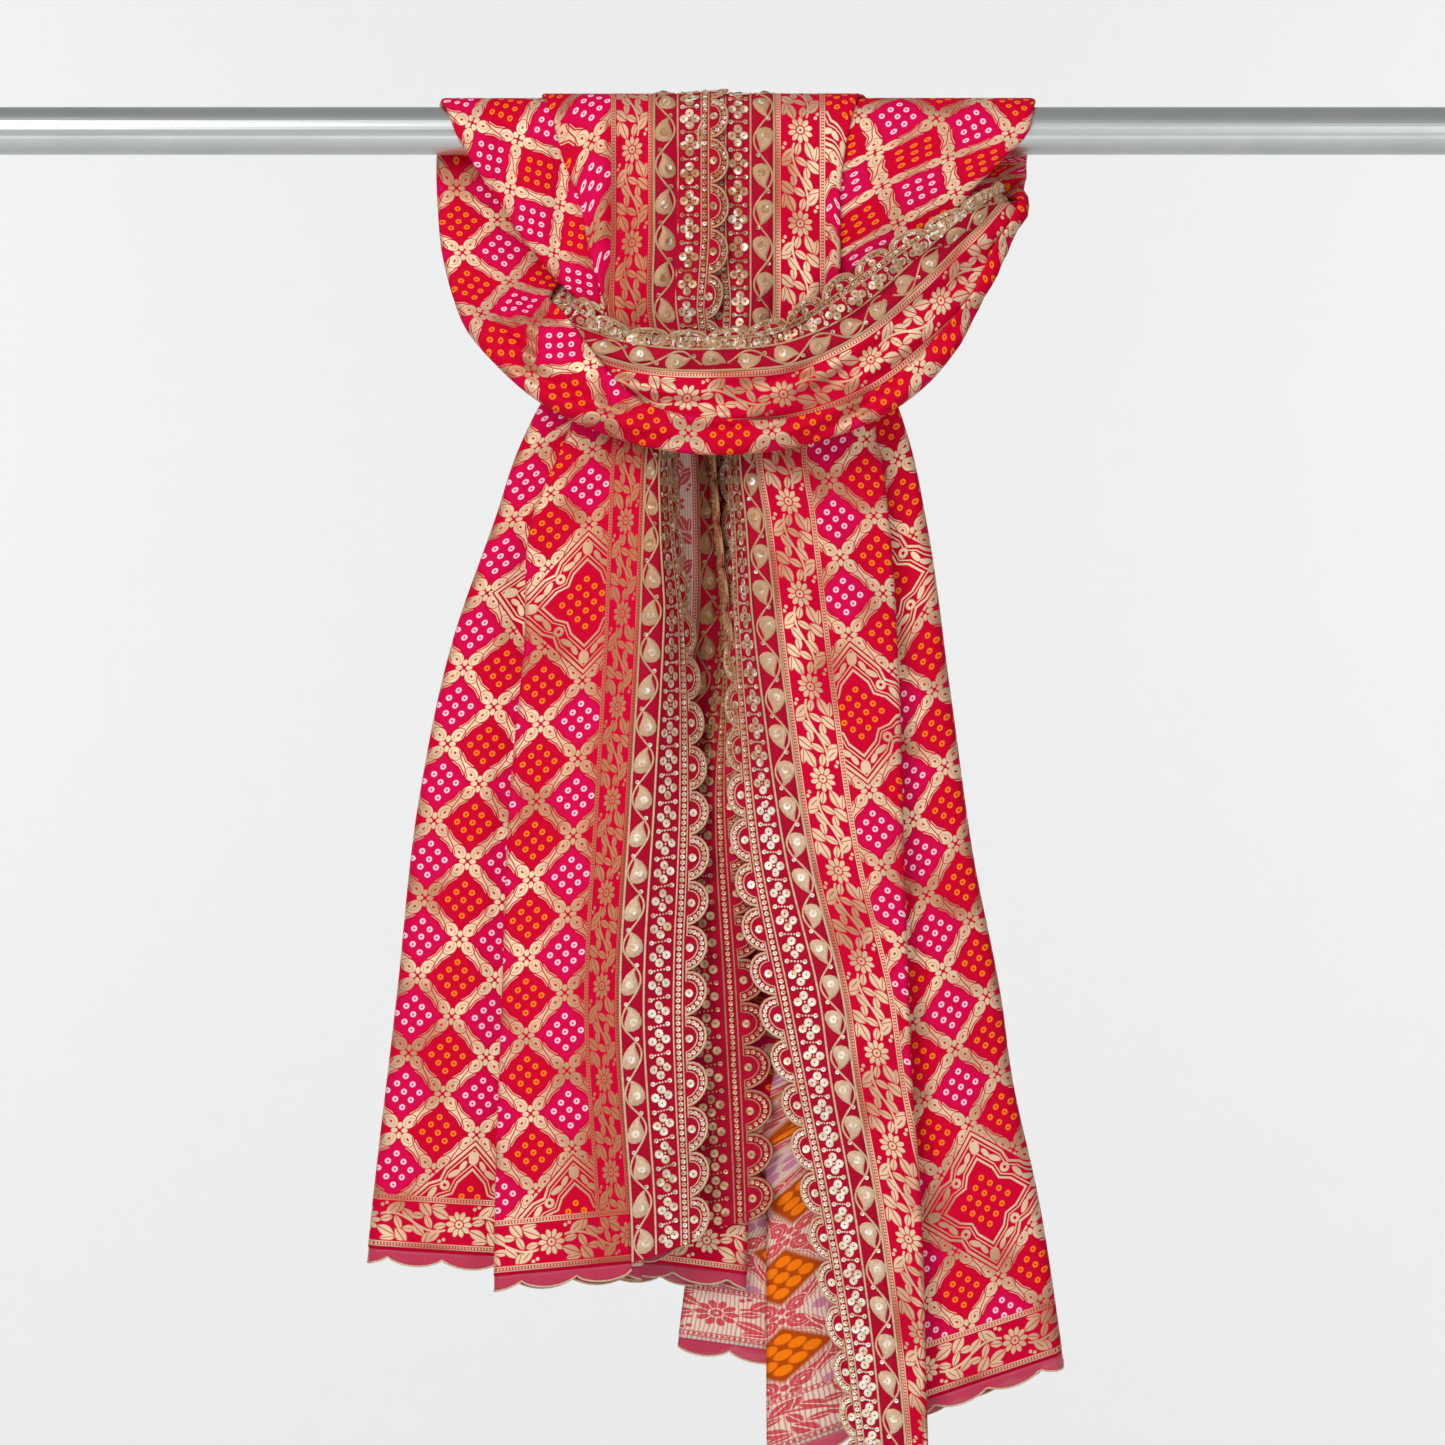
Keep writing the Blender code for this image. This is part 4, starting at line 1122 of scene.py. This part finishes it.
@dataclass(frozen=True)
class VelvetNet:
    """The lace's crimson ground: dense net on velvet, darker and duller than the cloth."""

    colour: str = "c4062f"
    shade_colour: str = "a00324"

    def build(self) -> bpy.types.Material:
        """The material, with a 1.1 mm net over soft blotches."""
        g = Graph("crimson net")
        u, v = g.flat_cloth()
        net = ((u + v) * (2 * math.pi / 1.1)).sine() * ((u - v) * (2 * math.pi / 1.1)).sine()
        colour = g.mix(g.noise(g.place(), 60.0, 3.0), linear(self.colour), linear(self.shade_colour))
        return g.shade({
            "Base Color": g.mix(net.over(0.2, 0.6) * 0.5, colour, linear("dc1244")),
            "Roughness": 0.8,
            "Specular IOR Level": 0.1,
            "Sheen Weight": 0.05,
            "Sheen Tint": linear("ff4a70"),
            "Normal": g.bump(net, 0.0002, 0.6),
        })


@dataclass(frozen=True)
class ZariThread:
    """Twisted gold-wrapped thread: a soft metallic cord with a 1.4 mm twist."""

    light: str = "ffe4c4"
    dark: str = "c08a62"

    def build(self) -> bpy.types.Material:
        """The material, striped by the twist along u and mottled where the wrap is worn."""
        g = Graph("zari thread")
        u, v = g.flat_cloth()
        twist = ((u + v * 1.5) * (2 * math.pi / 1.4)).sine()
        place = g.place()
        worn = g.noise(place, 500.0, 2.0)
        share = twist.scaled(0.45, worn)
        height = g.term(g.add("ShaderNodeSeparateXYZ", {0: place}).outputs[2])
        # Deeper, browner gold on the upper part, above a height 0.4 m below the rail.
        darker_above = g.mix(height.over(-0.4, 0.16) * 0.65, linear(self.light), linear("c0905c"))
        return g.shade({
            "Base Color": g.mix(share, darker_above, linear(self.dark)),
            "Metallic": 0.15,
            "Roughness": 0.42,
            "Normal": g.bump(twist, 0.0002, 0.6),
        })


@dataclass(frozen=True)
class GiltSequin:
    """Pale gilt sequins and cup beads: bright metal film with slight tarnish from one to the next."""

    light: str = "fff8e8"
    dark: str = "e0ba86"
    # The deeper gold the sequins take on their upper part, above a height 0.4 m below the rail.
    darker_above: str = "a87440"

    def build(self) -> bpy.types.Material:
        """The material: its tone changes from sequin to sequin, and it is deeper gold above."""
        g = Graph("gilt sequin")
        place = g.place()
        tone = g.noise(place, 260.0, 1.0)
        fresh = g.mix(tone.over(0.58, 0.3), linear(self.light), linear(self.dark))
        height = g.term(g.add("ShaderNodeSeparateXYZ", {0: place}).outputs[2])
        above = height.over(-0.4, 0.16).scaled(0.75, g.noise(place, 11.0, 1.0).over(0.6, 0.2) * 0.4)
        return g.shade({
            "Base Color": g.mix(above.low(0.95) * tone.over(0.38, 0.2), fresh, linear(self.darker_above)),
            "Metallic": 0.15,
            "Roughness": g.noise(place, 900.0, 1.0).scaled(0.2, 0.2),
        })


@dataclass(frozen=True)
class SheerOrganza:
    """The hem edging: sheer rose organza, through which the backdrop shows."""

    colour: str = "d82a58"

    def build(self) -> bpy.types.Material:
        """The material, with the organza's crossed threads as a fine bump."""
        g = Graph("rose organza")
        u, v = g.flat_cloth()
        weave = ((u * (2 * math.pi / 0.9)).sine() + (v * (2 * math.pi / 0.9)).sine()) * 0.5
        colour = g.mix(weave.over(0.0, 1.0), linear(self.colour), linear("c01c48"))
        return g.shade({
            "Base Color": colour,
            "Roughness": 0.4,
            "Alpha": 0.8,
            "Sheen Weight": 0.3,
            "Normal": g.bump(weave, 0.0001, 0.4),
        })


@dataclass(frozen=True)
class PolishedSteel:
    """The rail: drawn and polished steel, with faint lengthwise drawing lines."""

    def build(self) -> bpy.types.Material:
        """The material. Noise stretched 60 times along X gives the drawing lines."""
        g = Graph("polished steel")
        scale = g.add("ShaderNodeMapping", {0: g.place(), 3: (1.0, 60.0, 60.0)})
        lines = g.noise(scale.outputs[0], 9.0, 3.0)
        haze = g.noise(g.place(), 26.0, 3.0)
        return g.shade({
            "Base Color": g.mix(haze, linear("dfe2e0"), linear("c9cfcd")),
            "Metallic": 1.0,
            "Roughness": haze.scaled(0.08, lines.scaled(0.06, 0.24)),
            "Normal": g.bump(lines, 0.0001, 0.15),
        })


@dataclass(frozen=True)
class PaperBackdrop:
    """Matt pale paper."""

    colour: str = "f4f4f4"

    def build(self) -> bpy.types.Material:
        """The material."""
        g = Graph("paper backdrop")
        return g.shade({"Base Color": linear(self.colour), "Roughness": 0.95, "Specular IOR Level": 0.1})


def make_mesh(
    name: str, points: Array, faces: Array, uv: Array, materials: Sequence[bpy.types.Material], soft: bool = True
) -> bpy.types.Object:
    """A piece from points in millimetres about the rail's middle.

    Args:
        name: The piece's name.
        points: One row for each vertex.
        faces: One row of vertex numbers for each face, all with as many corners.
        uv: u and v in millimetres at each vertex.
        materials: Its materials, in slot order.
        soft: Whether it is shaded smooth.

    Returns:
        The object, with its flat coordinates in metres in the UV map "cloth".
    """
    mesh = bpy.data.meshes.new(name)
    places = (points.reshape(-1, 3) + (RAIL_MIDDLE, 0, 0)) * METRES
    corners = faces.shape[1]
    mesh.vertices.add(len(places))
    mesh.vertices.foreach_set("co", places.astype(np.float32).ravel())
    mesh.loops.add(faces.size)
    mesh.loops.foreach_set("vertex_index", faces.astype(np.int32).ravel())
    mesh.polygons.add(len(faces))
    mesh.polygons.foreach_set("loop_start", np.arange(0, faces.size, corners, dtype=np.int32))
    mesh.polygons.foreach_set("use_smooth", np.full(len(faces), soft))
    layer = mesh.uv_layers.new(name="cloth")
    flat = uv.reshape(-1, 2)[faces.ravel()] * METRES
    layer.data.foreach_set("uv", flat.astype(np.float32).ravel())
    mesh.update(calc_edges=True)
    mesh.validate()
    for material in materials:
        mesh.materials.append(material)
    piece = bpy.data.objects.new(name, mesh)
    bpy.context.collection.objects.link(piece)
    return piece


def grid_faces(rows: int, columns: int) -> Array:
    """Quads between neighbouring rows and columns of a grid, facing the cloth's right side."""
    r, c = np.meshgrid(np.arange(rows - 1), np.arange(columns - 1), indexing="ij")
    low = (r * columns + c).ravel()
    return np.stack([low, low + columns, low + columns + 1, low + 1], axis=1)


def thicken(piece: bpy.types.Object, millimetres: float, back_slot: int = 0) -> None:
    """Gives a sheet its thickness, half to each side.

    Args:
        piece: The sheet.
        millimetres: Its thickness.
        back_slot: How many slots on the back face's material is.
    """
    solidify = piece.modifiers.new("thickness", "SOLIDIFY")
    solidify.thickness = millimetres * METRES
    solidify.offset = 0
    solidify.material_offset = back_slot
    solidify.material_offset_rim = 0


@dataclass
class WovenCloth:
    """The woven cloth between its two lace seams."""

    grid: DrapedGrid
    thickness: float = 0.8

    def build(self) -> bpy.types.Object:
        """Builds the draped sheet and its two faces.

        Returns:
            The piece.
        """
        first, last = self.grid.named["seam_a"], self.grid.named["seam_b"]
        cut = np.s_[:, first : last + 1]
        points = self.grid.points[cut]
        flat = np.stack([self.grid.u[cut], self.grid.v[cut]], axis=-1)
        finishes = [WovenGeorgette(face).build() for face in ClothFace]
        piece = make_mesh("georgette_cloth", points, grid_faces(*points.shape[:2]), flat, finishes)
        thicken(piece, self.thickness, back_slot=1)
        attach(piece, BODY)
        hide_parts("cloth")
        return piece


@dataclass(frozen=True)
class Stud:
    """A small round ornament with a hole, such as a sequin or a cup bead."""

    sides: int
    radius: float
    hole: float
    height: float

    def shape(self) -> tuple[Array, Array]:
        """Its points and faces: a wall, a sloped top and the hole's rim, as rings on a circle.

        Returns:
            Points about its middle, with z out of the cloth, and quads.
        """
        turn = np.linspace(0, 2 * math.pi, self.sides, endpoint=False)
        circle = np.stack([np.cos(turn), np.sin(turn), 0 * turn], axis=1)
        rings = ((self.radius, 0.0), (0.92 * self.radius, self.height), (self.hole, 0.55 * self.height))
        points = np.concatenate([circle * r + (0, 0, z) for r, z in rings])
        k = np.arange(self.sides)
        after = (k + 1) % self.sides
        quads = [
            np.stack([k, after, after + self.sides, k + self.sides], axis=1) + ring * self.sides for ring in range(2)
        ]
        return points, np.concatenate(quads)


@dataclass
class LaceSurface:
    """A lace strip as a surface of u along it and v in from its scalloped edge."""

    points: Array
    u: Array
    v: Array
    flipped: bool

    def at(self, u: Array, v: Array) -> Array:
        """Points by bilinear interpolation of the strip's grid.

        Args:
            u: Millimetres along the lace.
            v: Millimetres in from its edge.

        Returns:
            One point for each pair.
        """
        r = np.clip(np.interp(u, self.u, np.arange(len(self.u))), 0, len(self.u) - 1.001)
        c = np.clip(np.interp(v, self.v, np.arange(len(self.v))), 0, len(self.v) - 1.001)
        i, j = r.astype(int), c.astype(int)
        s, t = (r - i)[..., None], (c - j)[..., None]
        p = self.points
        return (p[i, j] * (1 - t) + p[i, j + 1] * t) * (1 - s) + (p[i + 1, j] * (1 - t) + p[i + 1, j + 1] * t) * s

    def frame(self, u: Array, v: Array) -> tuple[Array, Array, Array, Array]:
        """Points, and unit vectors along u, across and out of the lace, by central differences.

        Args:
            u: Millimetres along the lace.
            v: Millimetres in from its edge.

        Returns:
            Points, along, across and out.
        """
        u_in, v_in = np.clip(u, 2, self.u[-1] - 2), np.clip(v, 1.5, self.v[-1] - 1.5)
        along = unit(self.at(u_in + 2, v_in) - self.at(u_in - 2, v_in))
        across = unit(self.at(u_in, v_in + 1.5) - self.at(u_in, v_in - 1.5))
        out = unit(np.cross(across, along)) * (1 if self.flipped else -1)
        return self.at(u, v), along, unit(np.cross(out, along)), out


@dataclass
class LaceBorder:
    """A sewn lace border: scalloped net, zari threads, sequins and cup beads."""

    grid: DrapedGrid
    side: LaceSide
    scallop: float = 30.0
    scallop_depth: float = 13.0
    bead_line: float = 19.6
    flower_line: float = 32.6
    flower_step: float = 18.4
    paisley_step: float = 24.0
    vine_line: float = 51.0
    ground_steps: int = 12
    seed: int = 7
    reach: float = LACE_LENGTH
    reverse_reach: float = 1060.0
    suffix: str = ""
    thread_finish: ZariThread = ZariThread()
    sequin_finish: GiltSequin = GiltSequin()

    def __post_init__(self) -> None:
        """Cuts the lace's strip out of the cloth's grid, from its edge to its seam."""
        named, front = self.grid.named, self.side is LaceSide.FRONT
        cut = slice(0, named["seam_a"] + 1) if front else slice(named["edge_b"], named["seam_b"] - 1, -1)
        points = self.grid.points[:, cut]
        v = self.grid.v[0, cut]
        v = v if front else CLOTH_WIDTH - v
        lengths = np.linalg.norm(np.diff(points[:, 0], axis=0), axis=1)
        u = np.concatenate([[0], np.cumsum(lengths)])
        self.surface = LaceSurface(points, u * LACE_LENGTH / u[-1], v, not front)
        self.random = np.random.default_rng(self.seed)

    def edge(self, u: Array) -> Array:
        """How far in the scalloped edge lies: half ellipses, depth (1 - sqrt(1 - x^2))."""
        x = np.abs((u / self.scallop) % 1 * 2 - 1)
        return self.scallop_depth * (1 - np.sqrt(np.maximum(1 - x * x, 0)))

    def arc(self, inset: float, turns: Array) -> tuple[Array, Array]:
        """Points on every scallop, a fixed inset inside its edge.

        Args:
            inset: Millimetres in from the edge.
            turns: Angles round the scallop, 0 to pi.

        Returns:
            u and v, scallop after scallop.
        """
        centres = (np.arange(int(self.reach / self.scallop)) + 0.5)[:, None] * self.scallop
        u = centres - (self.scallop / 2 - inset) * np.cos(turns)[None]
        v = self.scallop_depth + 1.5 - (self.scallop_depth + 1.5 - inset) * np.sin(turns)[None]
        return u.ravel(), np.broadcast_to(v, u.shape).ravel()

    def ground(self) -> bpy.types.Object:
        """The scalloped net: rows spread by the scallop's cosine, columns from edge to seam."""
        turns = np.linspace(0, math.pi, self.ground_steps, endpoint=False)
        centres = (np.arange(int(LACE_LENGTH / self.scallop)) + 0.5)[:, None] * self.scallop
        u = np.append((centres - self.scallop / 2 * np.cos(turns)[None]).ravel(), LACE_LENGTH)
        edge = self.edge(u)
        share = np.linspace(0, 1, 11) ** 1.2
        v = edge[:, None] + (LACE_WIDTH - edge[:, None]) * share[None]
        uu = np.broadcast_to(u[:, None], v.shape)
        points = self.surface.at(uu, v)
        faces = grid_faces(*v.shape)
        if self.side is LaceSide.BACK:
            faces = faces[:, ::-1]
        name = f"lace_net_{self.side.value}"
        piece = make_mesh(name, points, faces, np.stack([uu, v], axis=-1), [VelvetNet().build()])
        thicken(piece, 0.7)
        return piece

    def thread(self, u: Array, v: Array, radius: float) -> tuple[Array, Array, Array]:
        """A thread laid on the lace: a half-round cord of five points carried along u and v.

        Args:
            u: Millimetres along the lace.
            v: Millimetres in from its edge.
            radius: The thread's radius.

        Returns:
            Points, faces, and u and v at each point.
        """
        points, _, _, out = self.surface.frame(u, v)
        way = unit(np.gradient(points, axis=0))
        beside = unit(np.cross(out, way))
        turns = np.radians((-20, 35, 90, 145, 200))
        ring = beside[:, None] * np.cos(turns)[None, :, None] + out[:, None] * np.sin(turns)[None, :, None]
        tube = points[:, None] + out[:, None] * 0.35 + ring * radius
        flat = np.stack(np.broadcast_arrays(u[:, None], v[:, None] + radius * np.cos(turns)[None]), axis=-1)
        return tube.reshape(-1, 3), grid_faces(len(u), len(turns)), flat.reshape(-1, 2)

    def threads(self) -> bpy.types.Object:
        """Every thread: the straight lines, the scallops' cords, the vine and the paisleys."""
        u = np.arange(0.5, self.reach, 2.6)
        parts = [self.thread(u, 0 * u + v, r) for v, r in ((16.6, 0.55), (22.7, 0.6), (42.6, 0.75), (58.3, 0.85))]
        turns = np.linspace(0.02, math.pi - 0.02, 11)
        parts += [self.thread(*self.arc(inset, turns), r) for inset, r in ((0.9, 1.0), (6.6, 0.5))]
        fine = np.arange(0.5, self.reach, 2.0)
        vine = self.vine_line + 6.2 * np.sin(math.pi * fine / self.paisley_step)
        parts.append(self.thread(fine, vine, 0.75))
        parts.append(self.paisleys())
        points, faces, flat = self.joined(parts)
        return make_mesh(f"lace_threads_{self.side.value}{self.suffix}", points, faces, flat, [self.thread_finish.build()])

    def paisleys(self) -> tuple[Array, Array, Array]:
        """Raised paisleys between the vine's bends.

        Returns:
            Points, faces, and u and v: rings of a teardrop whose half width is
            sin(t) (1 - 0.6 cos t) and whose tip curls over, domed towards its middle.
        """
        count = int(self.reach / self.paisley_step)
        k = np.arange(count)
        flip = np.where(k % 2 == 0, 1.0, -1.0)
        u0, v0 = (k + 0.5) * self.paisley_step, self.vine_line - 1.2 * flip
        t = np.linspace(0, 2 * math.pi, 14, endpoint=False)
        x = 8.6 * np.cos(t)
        y = 5.2 * np.sin(t) * (1 - 0.6 * np.cos(t)) + 3.6 * (np.maximum(np.cos(t), 0)) ** 3
        rings = np.array((1.0, 0.86, 0.45, 0.05))
        lifts = np.array((0.1, 0.9, 1.3, 1.4))
        u = u0[:, None, None] + x[None, None] * rings[None, :, None]
        v = v0[:, None, None] + flip[:, None, None] * y[None, None] * rings[None, :, None]
        v = np.clip(v, 0, LACE_WIDTH)
        points, _, _, out = self.surface.frame(u, v)
        points = points + out * (0.4 + lifts[None, :, None, None])
        n = len(t)
        ring, side = np.meshgrid(np.arange(len(rings) - 1), np.arange(n), indexing="ij")
        low, after = (ring * n + side).ravel(), (ring * n + (side + 1) % n).ravel()
        quads = np.stack([low, after, after + n, low + n], axis=1)
        faces = (quads[None] + (k * n * len(rings))[:, None, None]).reshape(-1, 4)
        mirrored = np.repeat((flip < 0) != self.surface.flipped, len(quads))
        faces[mirrored] = faces[mirrored][:, ::-1]
        flat = np.stack([u, v], axis=-1).reshape(-1, 2)
        return points.reshape(-1, 3), faces, flat

    def joined(self, parts: Sequence[tuple[Array, Array, Array]]) -> tuple[Array, Array, Array]:
        """Several sets of points, faces and flat coordinates as one."""
        starts = np.cumsum([0] + [len(points) for points, _, _ in parts])
        faces = [part[1] + start for part, start in zip(parts, starts)]
        return np.concatenate([p[0] for p in parts]), np.concatenate(faces), np.concatenate([p[2] for p in parts])

    def studs(self, stud: Stud, u: Array, v: Array, lift: float) -> tuple[Array, Array, Array]:
        """Copies of a stud sewn on the lace, each tilted a little by chance.

        Args:
            stud: Its shape.
            u: Millimetres along the lace.
            v: Millimetres in from its edge.
            lift: How far it stands off the net.

        Returns:
            Points, faces, and u and v at each point.
        """
        shape, quads = stud.shape()
        points, along, across, out = self.surface.frame(u, v)
        tilt = self.random.normal(0, 0.1, (2, len(u), 1))
        out = unit(out + along * tilt[0] + across * tilt[1])
        along = unit(along - out * np.sum(along * out, axis=1, keepdims=True))
        across = np.cross(out, along)
        axes = np.stack([along, across, out], axis=1)
        placed = (points + out * lift)[:, None] + np.einsum("ki,nij->nkj", shape, axes)
        faces = (quads[None] + (np.arange(len(u)) * len(shape))[:, None, None]).reshape(-1, 4)
        flat = np.repeat(np.stack([u, v], axis=1), len(shape), axis=0)
        return placed.reshape(-1, 3), faces, flat

    def ornaments(self) -> bpy.types.Object:
        """Every sequin and bead: scallops, the bead line, flowers, ties and paisley studs."""
        bead, cup, knot = Stud(6, 1.75, 0.5, 1.0), Stud(6, 1.6, 0.45, 0.9), Stud(4, 0.8, 0.2, 0.6)
        sequin, disc = Stud(8, 3.1, 0.6, 0.45), Stud(8, 2.9, 0.6, 0.5)
        turns = np.linspace(0.2, math.pi - 0.2, 10)
        parts = [self.studs(cup, *self.arc(3.9, turns), 0.5)]
        centres = (np.arange(int(self.reach / self.scallop)) + 0.5) * self.scallop
        parts.append(self.studs(disc, centres, 0 * centres + 12.2, 0.5))
        line = np.arange(1.9, self.reach, 3.8)
        parts.append(self.studs(bead, line, 0 * line + self.bead_line, 0.45))
        flowers = np.arange(self.flower_step / 2, self.reach, self.flower_step)
        for du, dv in ((4.5, 0), (-4.5, 0), (0, 4.6), (0, -4.6)):
            parts.append(self.studs(sequin, flowers + du, 0 * flowers + self.flower_line + dv, 0.5))
        parts.append(self.studs(knot, flowers, 0 * flowers + self.flower_line, 0.4))
        ties = np.arange(self.flower_step, self.reach - 1, self.flower_step)
        for dv in (-5.9, 5.9):
            parts.append(self.studs(bead, ties, 0 * ties + self.flower_line + dv, 0.5))
        for dv in (-3.2, -1.1, 1.1, 3.2):
            parts.append(self.studs(knot, ties, 0 * ties + self.flower_line + dv, 0.3))
        k = np.arange(int(self.reach / self.paisley_step))
        flip = np.where(k % 2 == 0, 1.0, -1.0)
        middles = (k + 0.5) * self.paisley_step
        parts.append(self.studs(Stud(8, 2.9, 0.6, 0.5), middles - 2.2, self.vine_line - 1.2 * flip, 1.7))
        parts.append(self.studs(cup, middles + 10.0, self.vine_line + 3.4 * flip, 0.6))
        points, faces, flat = self.joined(parts)
        return make_mesh(f"lace_sequins_{self.side.value}{self.suffix}", points, faces, flat, [self.sequin_finish.build()], False)

    def build(self) -> list[bpy.types.Object]:
        """Builds the net, the threads and the ornaments.

        Returns:
            The pieces, the net first. On the left tail the back lace is worked on both faces.
        """
        pieces = [self.ground(), self.threads(), self.ornaments()]
        if self.side is LaceSide.BACK:
            self.surface.flipped = not self.surface.flipped
            self.reach, self.suffix = self.reverse_reach, "_reverse"
            self.thread_finish = ZariThread(light="dcab84", dark="8e5236")
            self.sequin_finish = GiltSequin(light="e2bd92", dark="a06a40")
            pieces += [self.threads(), self.ornaments()]
        for piece in pieces:
            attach(piece, BODY)
        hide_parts(f"lace_border_{self.side.value}")
        return pieces


@dataclass
class HemEdging:
    """The sheer scalloped edging below one hem, and the gold cord on its scallops."""

    grid: DrapedGrid
    tail: Tail
    drop: float = 10.0
    scallop: float = 37.0
    scallop_depth: float = 6.0
    step: float = 2.3

    def strip(self) -> tuple[Array, Array, Array]:
        """The hem line and the way down from it.

        Returns:
            Millimetres along the hem, its points, and unit vectors on past the hem, all at an
            even step.
        """
        first, last = self.grid.named["seam_a"], self.grid.named["seam_b"]
        end, before = (0, 1) if self.tail is Tail.LEFT else (-1, -2)
        line, inside = (self.grid.points[row, first : last + 1] for row in (end, before))
        down = unit(line - inside)
        travel = np.concatenate([[0], np.cumsum(np.linalg.norm(np.diff(line, axis=0), axis=1))])
        s = np.arange(0, travel[-1], self.step)
        points, ways = (
            np.stack([np.interp(s, travel, values[:, axis]) for axis in range(3)], axis=1) for values in (line, down)
        )
        return s, points, unit(ways)

    def build(self) -> list[bpy.types.Object]:
        """Builds the edging: its depth below the hem is a scallop, |sin|^0.6 of the way along.

        Returns:
            The organza and its cord.
        """
        s, line, down = self.strip()
        reach = self.drop - self.scallop_depth * (1 - np.abs(np.sin(math.pi * s / self.scallop)) ** 0.6)
        share = np.linspace(0, 1, 5)
        points = line[:, None] + down[:, None] * (reach[:, None] * share[None])[..., None]
        flat = np.stack(np.broadcast_arrays(s[:, None], reach[:, None] * share[None]), axis=-1)
        faces = grid_faces(*points.shape[:2])
        if self.tail is Tail.LEFT:
            faces = faces[:, ::-1]
        sheer = make_mesh(f"organza_edging_{self.tail.value}", points, faces, flat, [SheerOrganza().build()])
        thicken(sheer, 0.5)
        cord = self.cord(points[:, -1], s)
        for piece in (sheer, cord):
            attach(piece, BODY)
        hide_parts(f"hem_edging_{self.tail.value}")
        return [sheer, cord]

    def cord(self, line: Array, s: Array) -> bpy.types.Object:
        """A gold cord carried along the scallops as a six-sided tube.

        Args:
            line: The scalloped edge's points.
            s: Millimetres along the hem.

        Returns:
            The piece.
        """
        way = unit(np.gradient(line, axis=0))
        beside = unit(np.cross(way, (0.0, 1.0, 0.02)))
        out = np.cross(way, beside)
        turns = np.linspace(0, 2 * math.pi, 7)
        ring = beside[:, None] * np.cos(turns)[None, :, None] + out[:, None] * np.sin(turns)[None, :, None]
        points = line[:, None] + ring * 0.7
        flat = np.stack(np.broadcast_arrays(s[:, None], turns[None]), axis=-1)
        faces = grid_faces(*points.shape[:2])[:, ::-1]
        return make_mesh(f"edging_cord_{self.tail.value}", points, faces, flat, [ZariThread().build()])


@dataclass
class Studio:
    """Pale paper, soft lights and the camera. Sizes are in metres."""

    view_width: float = 0.96333
    distance: float = 6.0
    height: float = -0.39433
    middle: float = RAIL_MIDDLE * METRES
    floor: float = -2.2
    wall: float = 7.0

    def backdrop(self) -> None:
        """A sheet of paper that sweeps from a floor up a wall: a quarter circle between planes."""
        x = np.linspace(-9, 9, 3) + self.middle
        turn = np.linspace(0, math.pi / 2, 13)
        y = np.concatenate([[-9], self.wall - 1 + np.sin(turn), [self.wall]])
        z = np.concatenate([[0], 1 - np.cos(turn), [7]]) + self.floor
        points = np.stack([
            np.broadcast_to(x[None], (len(y), 3)), np.broadcast_to(y[:, None], (len(y), 3)),
            np.broadcast_to(z[:, None], (len(y), 3)),
        ], axis=-1)
        shifted = points / METRES - (RAIL_MIDDLE, 0, 0)
        flat = np.stack([points[..., 0], points[..., 1]], axis=-1)
        paper = make_mesh("paper_sweep", shifted, grid_faces(len(y), 3)[:, ::-1], flat, [PaperBackdrop().build()])

    def light(self, name: str, place: Point, size: float, power: float, target: Point) -> None:
        """A square soft light.

        Args:
            name: Its name.
            place: Where it stands.
            size: Its side.
            power: Its power in watts.
            target: Where it faces.
        """
        data = bpy.data.lights.new(name, "AREA")
        data.shape, data.size, data.energy = "SQUARE", size, power
        lamp = bpy.data.objects.new(name, data)
        bpy.context.collection.objects.link(lamp)
        lamp.location = place
        aim = Vector(target) - Vector(place)
        lamp.rotation_euler = aim.to_track_quat("-Z", "Y").to_euler()

    def world(self) -> None:
        """An even pale surround."""
        world = bpy.data.worlds.new("surround")
        world.use_nodes = True
        shader = world.node_tree.nodes["Background"]
        shader.inputs["Color"].default_value = linear("f4f5f6")
        shader.inputs["Strength"].default_value = 0.36
        bpy.context.scene.world = world

    def camera(self) -> None:
        """A level camera in front, far enough for an almost parallel view."""
        data = bpy.data.cameras.new("camera")
        data.sensor_width = 36.0
        data.lens = 36.0 * self.distance / self.view_width
        data.clip_end = 100.0
        camera = bpy.data.objects.new("camera", data)
        bpy.context.collection.objects.link(camera)
        camera.location = (self.middle, -self.distance, self.height)
        camera.rotation_euler = (math.pi / 2, 0.0, 0.0)
        bpy.context.scene.camera = camera

    def build(self) -> None:
        """Sets up the whole studio."""
        self.backdrop()
        cloth = (self.middle, 0.0, self.height)
        self.light("key", (-1.3, -3.0, 1.5), 2.3, 96.0, cloth)
        self.light("fill", (2.3, -3.4, 0.3), 2.6, 26.0, cloth)
        self.light("low", (0.5, -3.0, -2.4), 2.2, 14.0, cloth)
        for name, x in (("paper_left", -2.6), ("paper_right", 3.7)):
            self.light(name, (x, self.wall - 2.6, 0.6), 2.0, 57.0, (self.middle, self.wall, -0.4))
        self.world()
        self.camera()
        bpy.context.scene.view_settings.view_transform = "Standard"


def count(pieces: Sequence[bpy.types.Object]) -> str:
    """The pieces' names and how many faces they have, for the log."""
    return ", ".join(f"{piece.name} {len(piece.data.polygons)} faces" for piece in pieces)


def main() -> None:
    """Builds the studio, the rail's finish, the cloth, both laces and both hem edgings."""
    logging.basicConfig(level=logging.INFO, format="%(message)s")
    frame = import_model()
    Studio().build()
    LOG.info("studio set")

    rail = frame["nodes"]["rail"]
    rail.material_slots[0].material = PolishedSteel().build()
    LOG.info("rail finished")

    grid = DrapedGrid()
    cloth = WovenCloth(grid).build()
    LOG.info("cloth: %s", count([cloth]))
    trims = []
    for side in LaceSide:
        trims += LaceBorder(grid, side).build()
    for tail in Tail:
        trims += HemEdging(grid, tail).build()
    LOG.info("trims: %s", count(trims))


if __name__ == "__main__":
    main()
